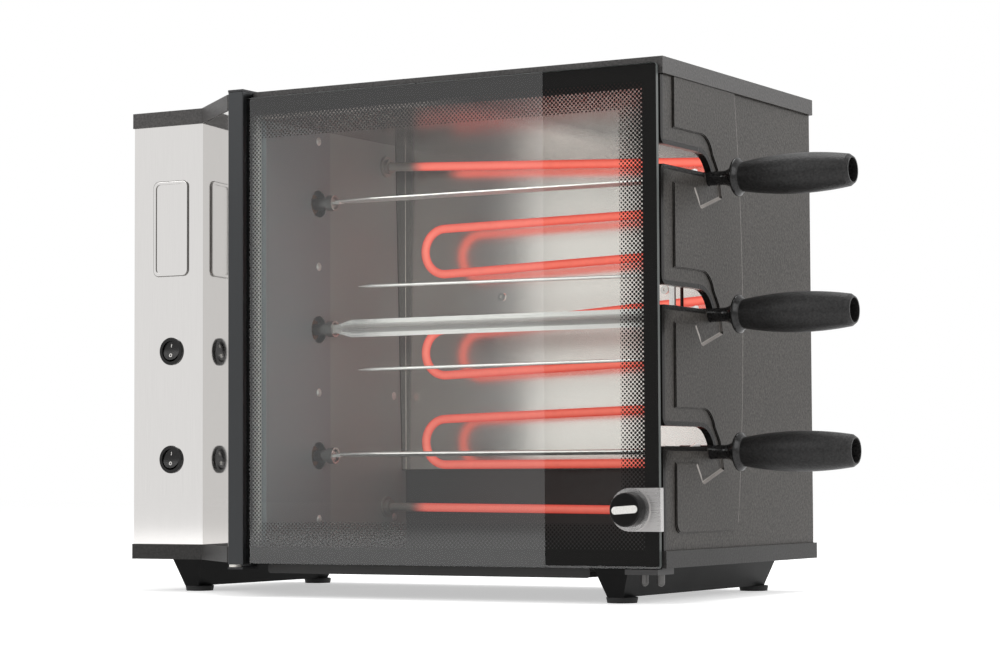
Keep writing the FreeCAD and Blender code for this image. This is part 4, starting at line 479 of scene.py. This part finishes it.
class GrillFinish(bpy.types.PropertyGroup):
    paint: bpy.props.FloatVectorProperty(
        name="Paint", description="Powder coat of the covers", subtype="COLOR",
        default=linear("#3f3d3c"))
    side_paint: bpy.props.FloatVectorProperty(
        name="Side paint", description="Powder coat of the pressed side panel",
        subtype="COLOR", default=linear("#3c3936"))
    # Painted shade: the dark colour on the side panel's rims, front strip and thick edges.
    rim_shade: bpy.props.FloatVectorProperty(
        name="Rim paint", description="Smooth paint on folded rims", subtype="COLOR",
        default=linear("#1d1c1b"))
    steel: bpy.props.FloatVectorProperty(
        name="Stainless", description="Stainless sheet", subtype="COLOR",
        default=linear("#dcdad8"))
    plastic: bpy.props.FloatVectorProperty(
        name="Handle plastic", description="Phenolic handles and knob", subtype="COLOR",
        default=linear("#171616"))
    glass_tint: bpy.props.FloatVectorProperty(
        name="Glass", description="Tint of the door glass", subtype="COLOR",
        default=linear("#fafbfa"))
    border_ink: bpy.props.FloatVectorProperty(
        name="Border", description="Fired border of the door glass", subtype="COLOR",
        default=linear("#141312"))
    glow_core: bpy.props.FloatVectorProperty(
        name="Glow, middle", description="Element facing the viewer", subtype="COLOR",
        default=linear("#fb7f6e"))
    glow_edge: bpy.props.FloatVectorProperty(
        name="Glow, edge", description="Element's edges", subtype="COLOR",
        default=linear("#c9241a"))
    glow_strength: bpy.props.FloatProperty(
        name="Glow strength", description="How bright the element is", default=1.0, min=0.0)
    border: bpy.props.FloatProperty(
        name="Border width", description="Solid black border of the glass",
        default=14.5 * MM, min=0.0, unit="LENGTH")
    dot_fade: bpy.props.FloatProperty(
        name="Dot band", description="Width of the dotted band inside the border",
        default=22.0 * MM, min=1.0 * MM, unit="LENGTH")
    dot_pitch: bpy.props.FloatProperty(
        name="Dot pitch", description="Spacing of the dots along a row",
        default=3.8 * MM, min=0.5 * MM, unit="LENGTH")
    cold_length: bpy.props.FloatProperty(
        name="Cold ends", description="Length of the element that stays cold",
        default=62.0 * MM, min=0.0, unit="LENGTH")


class GrillOperator:
    bl_options = {"REGISTER", "UNDO"}


class GRILL_OT_covers(GrillOperator, bpy.types.Operator):
    """Powder coat on the covers, enamel on the rails, the tray and the chamber's back"""
    bl_idname = "grill.covers"
    bl_label = "Painted covers"

    def execute(self, context):
        finish = settings()
        # Steel sheet under baked powder coat, satin: a pebbled skin of about a
        # millimetre, drawn at two so that it shows.
        coat = grained("powder_coated_steel", finish.paint, 0.45, 2.0, 0.75, speck=0.006,
                       shine=0.3, contrast=0.45)
        # The side panel's rims and front strip take the rim colour: painted shade.
        side = grained("pressed_powder_coated_steel", finish.side_paint, 0.4, 2.2, 0.9,
                       speck=0.01, rim=finish.rim_shade, shine=0.15, contrast=0.55)
        # Painted shade: dark, glossy paint along the front edge and round the slots.
        layer(side, thick_edge_shade, finish.rim_shade, rough=0.22, shine=0.12)
        # Painted highlights: pale lines along the pressed edges.
        layer(side, pressed_line_highlights, linear("#a8a29d"), rough=0.25)
        # The same powder in black, a duller skin.
        base = grained("powder_coated_base", linear("#2c2b2a"), 0.45, 2.0, 0.75, speck=0.004,
                       shine=0.2, contrast=0.4)
        # Vitreous enamel, fired, matt black with fine pinholes.
        enamel = grained("matt_enamelled_steel", linear("#242322"), 0.5, 1.4, 0.2)
        # The same enamel, deep black and almost without gloss.
        rail = grained("black_enamelled_rail", linear("#0d0d0d"), 0.45, 1.4, 0.2, shine=0.1)
        dress(coat, "top_cover", "left_side_panel", "back_panel")
        dress(side, "right_side_panel")
        dress(base, "base_pan")
        dress(rail, "foot_rail_left", "foot_rail_right")
        dress(enamel, "chamber_back", "drip_tray")
        return {"FINISHED"}


class GRILL_OT_stainless(GrillOperator, bpy.types.Operator):
    """Stainless sheet of the control panel and the chamber"""
    bl_idname = "grill.stainless"
    bl_label = "Stainless sheet"

    def execute(self, context):
        finish = settings()
        # Bright annealed sheet, rolled: faint upright lines, near a mirror. Its badge's edges
        # carry a painted dark line of shade, and its jamb is painted paler, rougher and less
        # metallic, a painted highlight.
        bright = brushed("bright_annealed_stainless", finish.steel, 0.055, 0.35, "Z", 0.05)
        layer(bright, badge_edge_shade, linear("#6d6b69"), rough=0.3)
        # The jamb is painted paler, rougher and less metallic: a painted highlight.
        layer(bright, jamb_highlight, linear("#f0eeec"), rough=0.5, metallic=0.2)
        # Chamber wall under a film of oxide and burnt fat, so only partly metal: blue grey in
        # front, greener towards the element, and paler on its lip, a painted highlight.
        wall = brushed("heat_dulled_stainless", linear("#8f979a"), 0.45, 0.4, "Y",
                       behind=linear("#9da6a4"), split=WALL_TONE_STEP_Y, metallic=0.15)
        layer(wall, wall_lip_highlight, linear("#f0eeec"), rough=0.3, metallic=0.3)
        # Ceiling sheet, rolled, soft reflections. On the right it is painted a dark red brown,
        # no
        # metal: painted shade, with the element's glow painted in as a red reflection.
        liner = brushed("bright_ceiling_stainless", linear("#a09490"), 0.2, 0.4, "Y", 0.08)
        layer(liner, ceiling_shade_and_reflection, linear("#3c2624"), rough=0.22, metallic=0, shine=0.15)
        # Polished reflector sheet, soft reflections. Its side returns are painted dark, a
        # painted shade in the corner.
        sheet_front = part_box("back_reflector")[1][1] - 1.1 * MM
        mirror = brushed("polished_reflector_steel", linear("#4a4744"), 0.2, 0.5, "X", 0.05,
                         behind=linear("#f4eeea"), split=sheet_front, soft=0.2)
        dress(bright, "control_panel")
        dress(wall, "left_inner_wall")
        dress(liner, "ceiling_liner", "element_support")
        dress(mirror, "back_reflector")
        return {"FINISHED"}


class GRILL_OT_door(GrillOperator, bpy.types.Operator):
    """Door glass, stile, knob and its plates"""
    bl_idname = "grill.door"
    bl_label = "Door"

    def execute(self, context):
        finish = settings()
        dress(printed_glass("toughened_printed_glass", finish), "door_glass")
        # Anodised aluminium extrusion, satin, lines along the draw.
        dress(brushed("black_anodised_aluminium", linear("#3d3e3f"), 0.38, 0.3, "Z"),
              "door_stile")
        # Stainless strip, brushed along its length, a broad soft shine.
        dress(brushed("brushed_steel_plate", linear("#b9b7b6"), 0.28, 0.3, "X"),
              "knob_bracket")
        # Steel plated with zinc and passivated black: dull, still a metal.
        dress(brushed("black_passivated_zinc", linear("#39393a"), 0.42, 0.3, "X"),
              "top_hinge_plate", "bottom_hinge_plate")
        # Steel, turned and left bright.
        dress(brushed("turned_steel_disc", linear("#c9c7c6"), 0.2, 0.3, "Z"), "knob_disc",
              "knob_screw")
        # Phenolic from a polished mould: smooth, black, a deep gloss.
        dress(grained("moulded_phenolic_knob", finish.plastic, 0.2, 0.8, 0.05, shine=0.16),
              "door_knob")
        # Glass-filled nylon, moulded: dull, with a faint grain.
        dress(grained("moulded_end_cap", linear("#232222"), 0.5, 0.8, 0.15), "stile_caps",
              "door_catch")
        # Unfilled nylon, moulded: milky and waxy.
        dress(grained("white_nylon", linear("#e6e3dc"), 0.45, 0.7, 0.1), "hinge_washer")
        return {"FINISHED"}


class GRILL_OT_knob_inlay(GrillOperator, bpy.types.Operator):
    """Bare white inlay across the knob's face"""
    bl_idname = "grill.knob_inlay"
    bl_label = "Knob inlay"

    def execute(self, context):
        low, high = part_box("door_knob")
        centre = Vector(((low[0] + high[0]) / 2.0, low[1], (low[2] + high[2]) / 2.0))
        half, radius, proud, edge = 8.6 * MM, 3.2 * MM, 0.35 * MM, 0.25 * MM
        tilt = 4.0
        work = bmesh.new()
        disc = bmesh.ops.create_circle(work, cap_ends=True, segments=48, radius=radius)
        for vert in disc["verts"]:
            vert.co.x += half if vert.co.x > 0 else -half
        grown = bmesh.ops.extrude_face_region(work, geom=work.faces[:])
        top = [g for g in grown["geom"] if isinstance(g, bmesh.types.BMVert)]
        bmesh.ops.translate(work, verts=top, vec=(0, 0, 2 * proud))
        rim = [e for e in work.edges if all(v in top for v in e.verts)]
        bmesh.ops.bevel(work, geom=rim, offset=edge, segments=3, profile=0.5,
                        affect="EDGES", material=-1)
        turn = (Matrix.Translation(centre + Vector((0, proud, 0)))
                @ Matrix.Rotation(math.radians(90), 4, "X")
                @ Matrix.Rotation(math.radians(tilt), 4, "Z"))
        bmesh.ops.transform(work, matrix=turn, verts=work.verts[:])
        bmesh.ops.recalc_face_normals(work, faces=work.faces[:])
        # White ABS, moulded and pressed into the knob: clean, half gloss.
        white = grained("white_abs_inlay", linear("#eceae6"), 0.35, 0.8, 0.05)
        inlay = new_object("knob_inlay", work, white)
        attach(inlay, "door")
        return {"FINISHED"}


class GRILL_OT_element(GrillOperator, bpy.types.Operator):
    """Glowing element and its bushings"""
    bl_idname = "grill.element"
    bl_label = "Heating element"

    def execute(self, context):
        dress(hot_sheath("glowing_tube_sheath", settings()), "heating_element")
        # Steatite-lined steel glands, dull.
        dress(brushed("dull_steel_gland", linear("#a39e99"), 0.4, 0.3, "X", metallic=0.5),
              "element_bushings")
        return {"FINISHED"}


class GRILL_OT_skewers(GrillOperator, bpy.types.Operator):
    """Skewer blades, prongs and handles"""
    bl_idname = "grill.skewers"
    bl_label = "Skewers"

    def execute(self, context):
        finish = settings()
        # Stainless bar, rolled and scoured pale, so its shine is broad and white.
        steel = brushed("rolled_skewer_steel", linear("#f6f4f2"), 0.28, 0.25, "X", metallic=0.5)
        # Phenolic, spark-eroded mould: a grain of about a millimetre, drawn a little
        # coarser so that it shows.
        grip_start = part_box("skewer_handle_1")[0][0] + 59.5 * MM
        grip = grained("grained_phenolic_handle", finish.plastic, 0.4, 2.0, 1.0, speck=0.012,
                       smooth=grip_start, shine=0.28, contrast=0.7)
        for number in (1, 2, 3):
            dress(steel, "skewer_blade_%d" % number)
            dress(grip, "skewer_handle_%d" % number)
        dress(steel, "skewer_prongs")
        # Stainless strip, polished, a soft mirror of the element.
        dress(brushed("polished_rest_steel", linear("#ece8e5"), 0.3, 0.6, "Z", 0.03),
              "skewer_rest")
        return {"FINISHED"}


class GRILL_OT_drive(GrillOperator, bpy.types.Operator):
    """Sockets, gears, plates and motor"""
    bl_idname = "grill.drive"
    bl_label = "Drive"

    def execute(self, context):
        # Steel bar, turned: fine lines and a soft mirror.
        socket = brushed("turned_socket_steel", linear("#a8a5a2"), 0.25, 0.25, "Z")
        # Steel under plated zinc: pale, with a fine crystal grain.
        zinc = grained("zinc_plated_steel", linear("#b4b5b3"), 0.35, 1.6, 0.1, metallic=1.0)
        # Natural acetal, moulded: ivory, slightly waxy.
        acetal = grained("moulded_acetal_gear", linear("#ddd8c8"), 0.4, 0.9, 0.1)
        # Oil-filled bronze, sintered: brown and open-grained.
        bronze = grained("sintered_bronze", linear("#6e5535"), 0.5, 0.6, 0.3, metallic=1.0)
        # Steatite, fired and unglazed: chalky.
        ceramic = grained("fired_ceramic", linear("#dcd8cc"), 0.6, 0.8, 0.2)
        # Nylon, moulded: dull black.
        black = grained("moulded_black_nylon", linear("#1c1b1b"), 0.45, 0.8, 0.2)
        # Steel, turned and blackened in oil: dark, still a metal.
        stud = brushed("blackened_steel_stud", linear("#5c5b5a"), 0.35, 0.3, "Z")
        # Bright zinc heads, a little chalky.
        screw = grained("bright_zinc_screw", linear("#dcdcda"), 0.4, 1.2, 0.1, metallic=0.4)
        # Steel, pressed and tumbled bright.
        rivet = brushed("bright_rivet_steel", linear("#d8d6d3"), 0.2, 0.3, "Z")
        # Rubber, moulded, dry to the touch.
        rubber = grained("moulded_rubber", linear("#161616"), 0.75, 1.0, 0.3)
        for number in (1, 2, 3):
            dress(socket, "drive_socket_%d" % number)
            dress(acetal, "spindle_gear_%d" % number)
        dress(acetal, "idler_gear_1", "idler_gear_2")
        dress(zinc, "motor_pinion", "gearmotor", "gear_plates", "gear_posts", "idler_axles",
              "tray_runners", "cover_screws")
        dress(stud, "catch_studs")
        dress(screw, "wall_screws")
        dress(bronze, "spindle_bushes")
        dress(ceramic, "terminal_block")
        dress(black, "cable_gland")
        dress(rivet, "reflector_rivets")
        dress(rubber, "foot_pads")
        return {"FINISHED"}


def add_bar(work, size, middle):
    """The on mark, a bar."""
    bar = bmesh.ops.create_cube(work, size=1.0)["verts"]
    bmesh.ops.scale(work, vec=size, verts=bar)
    bmesh.ops.translate(work, vec=middle, verts=bar)


def add_ring(work, radius, inner_share, height, middle):
    """The off mark, a flat ring that stands upright."""
    ring = bmesh.ops.create_circle(work, segments=32, radius=radius)["verts"]
    loop = list(dict.fromkeys(e for v in ring for e in v.link_edges))
    grown = bmesh.ops.extrude_edge_only(work, edges=loop)["geom"]
    inner = [g for g in grown if isinstance(g, bmesh.types.BMVert)]
    bmesh.ops.scale(work, vec=(inner_share, inner_share, 1.0), verts=inner)
    faces = list(dict.fromkeys(f for v in inner for f in v.link_faces))
    raised = bmesh.ops.extrude_face_region(work, geom=faces)["geom"]
    upper = [g for g in raised if isinstance(g, bmesh.types.BMVert)]
    bmesh.ops.translate(work, vec=(0, 0, height), verts=upper)
    verts = list(dict.fromkeys(ring + inner + upper))
    bmesh.ops.rotate(work, verts=verts, matrix=Matrix.Rotation(math.radians(90), 3, "X"))
    bmesh.ops.translate(work, vec=middle, verts=verts)


class GRILL_OT_switches(GrillOperator, bpy.types.Operator):
    """Rocker switches and their on and off marks"""
    bl_idname = "grill.switches"
    bl_label = "Switches"

    def execute(self, context):
        off_pivot, rocker_turn = 4.6 * MM, -9.0
        # Nylon from a polished mould, glossy black.
        gloss = grained("glossy_switch_nylon", linear("#171616"), 0.22, 0.9, 0.05, shine=0.25)
        dress(gloss, "switch_housings", "rocker_lower", "rocker_upper")
        # Printed white ink, matt.
        white = grained("white_switch_print", linear("#e9e7e2"), 0.5, 0.8, 0.05)
        for name in ("lower", "upper"):
            low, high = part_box("rocker_" + name)
            pivot = Vector(((low[0] + high[0]) / 2.0, ROCKER_PIVOT_Y, (low[2] + high[2]) / 2.0))
            work = bmesh.new()
            add_bar(work, (0.7 * MM, 0.3 * MM, 3.2 * MM), (0, -4.05 * MM, off_pivot))
            add_ring(work, 1.7 * MM, 0.6, 0.3 * MM, (0, -3.9 * MM, -off_pivot))
            turn = (Matrix.Translation(pivot)
                    @ Matrix.Rotation(math.radians(rocker_turn), 4, "X"))
            bmesh.ops.transform(work, matrix=turn, verts=work.verts[:])
            bmesh.ops.recalc_face_normals(work, faces=work.faces[:])
            marks = new_object("rocker_marks_" + name, work, white)
            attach(marks, "rocker_" + name)
        return {"FINISHED"}


# ---------------------------------------------------------------- stage

def sees_background(tree):
    """1 for the rays that show the background: to the camera, in gloss, through glass."""
    rays = add(tree, "LightPath")
    seen = rays.outputs["Is Camera Ray"]
    for kind in ("Is Glossy Ray", "Is Transmission Ray"):
        seen = add(tree, "Math", (seen, rays.outputs[kind]), operation="MAXIMUM")
    return seen


def pale_floor(size):
    """Studio paper, matt and almost white, which keeps the object's shadow."""
    material, tree = new_material("pale_floor")
    paper = add(tree, "BsdfDiffuse", {"Color": rgba(linear("#f3f3f3"))})
    lift = add(tree, "Math", (sees_background(tree), 0.5), operation="MULTIPLY")
    glow = add(tree, "Emission", {"Color": WHITE, "Strength": lift})
    add(tree, "OutputMaterial", {"Surface": add(tree, "AddShader", (paper, glow))})
    work = bmesh.new()
    bmesh.ops.create_grid(work, x_segments=1, y_segments=1, size=size)
    new_object("floor", work, material)


def dark_card(width, height, middle):
    """Dark card in front of the door: the right part of the door reflects it, so it
    shows the chamber without a veil."""
    # Grey felt, which takes no light from the lamps.
    material, tree = new_material("grey_felt")
    felt = add(tree, "Emission", {"Color": WHITE, "Strength": 0.16})
    add(tree, "OutputMaterial", {"Surface": felt})
    work = bmesh.new()
    corners = bmesh.ops.create_grid(work, x_segments=1, y_segments=1, size=0.5)["verts"]
    bmesh.ops.scale(work, vec=(width, height, 1.0), verts=corners)
    bmesh.ops.rotate(work, verts=corners, matrix=Matrix.Rotation(math.radians(90), 3, "X"))
    bmesh.ops.translate(work, vec=middle, verts=corners)
    card = new_object("dark_card", work, material)
    card.visible_camera = False
    card.visible_diffuse = False
    card.visible_shadow = False
    card.visible_transmission = False


def white_world(scene):
    """White where the background is seen, and a plain soft light elsewhere."""
    world = bpy.data.worlds.new("studio")
    scene.world = world
    world.use_nodes = True
    tree = world.node_tree
    tree.nodes.clear()
    level = add(tree, "MapRange", {
        "Value": sees_background(tree), "To Min": 0.55, "To Max": 1.0})
    sky = add(tree, "Background", {"Color": WHITE, "Strength": level})
    add(tree, "OutputWorld", {"Surface": sky})


def soft_lamp(name, spot, size, power, aim):
    """A square lamp at a spot that faces the aim."""
    lamp = bpy.data.lights.new(name, "AREA")
    lamp.size = size
    lamp.energy = power
    holder = bpy.data.objects.new(name, lamp)
    bpy.context.collection.objects.link(holder)
    holder.location = spot
    holder.rotation_euler = (aim - Vector(spot)).to_track_quat("-Z", "Y").to_euler()


def place_camera(scene, spot, turns, lens):
    """A camera at a spot, turned by yaw, pitch and roll in degrees."""
    yaw, pitch, roll = (math.radians(turn) for turn in turns)
    forward = Vector((-math.sin(yaw) * math.cos(pitch), math.cos(yaw) * math.cos(pitch),
                      math.sin(pitch)))
    level_right = Vector((math.cos(yaw), math.sin(yaw), 0))
    level_up = level_right.cross(forward)
    right = math.cos(roll) * level_right + math.sin(roll) * level_up
    up = -math.sin(roll) * level_right + math.cos(roll) * level_up
    turned = Matrix((right, up, -forward)).transposed().to_4x4()
    camera_data = bpy.data.cameras.new("camera")
    camera_data.sensor_width = 36.0
    camera_data.lens = lens
    camera_data.clip_end = 50.0
    camera = bpy.data.objects.new("camera", camera_data)
    bpy.context.collection.objects.link(camera)
    camera.matrix_world = Matrix.Translation(spot) @ turned
    scene.camera = camera


class GRILL_OT_stage(GrillOperator, bpy.types.Operator):
    """Pale floor, soft lights and the camera"""
    bl_idname = "grill.stage"
    bl_label = "Stage"

    def execute(self, context):
        aim = Vector((0, 0, 0.22))
        pale_floor(8.0)
        dark_card(0.255, 1.2, (-0.1875, -0.95, 0.602))
        white_world(context.scene)
        soft_lamp("key", (-1.3, -2.2, 1.7), 1.4, 24.0, aim)
        soft_lamp("side", (2.4, -0.4, 1.3), 1.2, 11.0, aim)
        soft_lamp("rear", (1.7, 1.5, 1.1), 0.9, 12.0, aim)
        soft_lamp("top", (0.2, 0.3, 2.4), 1.6, 26.0, aim)
        place_camera(context.scene, (1.2056, -2.1345, 0.1046), (29.6715, 3.0448, -0.2739),
                     97.41)
        context.scene.view_settings.view_transform = "Standard"
        return {"FINISHED"}


STEPS = (GRILL_OT_covers, GRILL_OT_stainless, GRILL_OT_door, GRILL_OT_knob_inlay,
         GRILL_OT_element, GRILL_OT_skewers, GRILL_OT_drive, GRILL_OT_switches, GRILL_OT_stage)


class GRILL_PT_panel(bpy.types.Panel):
    """Lists the steps that dress the grill"""
    bl_idname = "GRILL_PT_panel"
    bl_label = "Skewer grill"
    bl_space_type = "VIEW_3D"
    bl_region_type = "UI"
    bl_category = "Grill"

    def draw(self, context):
        for step in STEPS:
            self.layout.operator(step.bl_idname)


CLASSES = (GrillFinish,) + STEPS + (GRILL_PT_panel,)


def register():
    for item in CLASSES:
        bpy.utils.register_class(item)
    bpy.types.Scene.grill_finish = bpy.props.PointerProperty(type=GrillFinish)


def unregister():
    del bpy.types.Scene.grill_finish
    for item in reversed(CLASSES):
        bpy.utils.unregister_class(item)


def main():
    register()
    for step in STEPS:
        group, name = step.bl_idname.split(".")
        getattr(getattr(bpy.ops, group), name)()


if __name__ == "__main__":
    main()
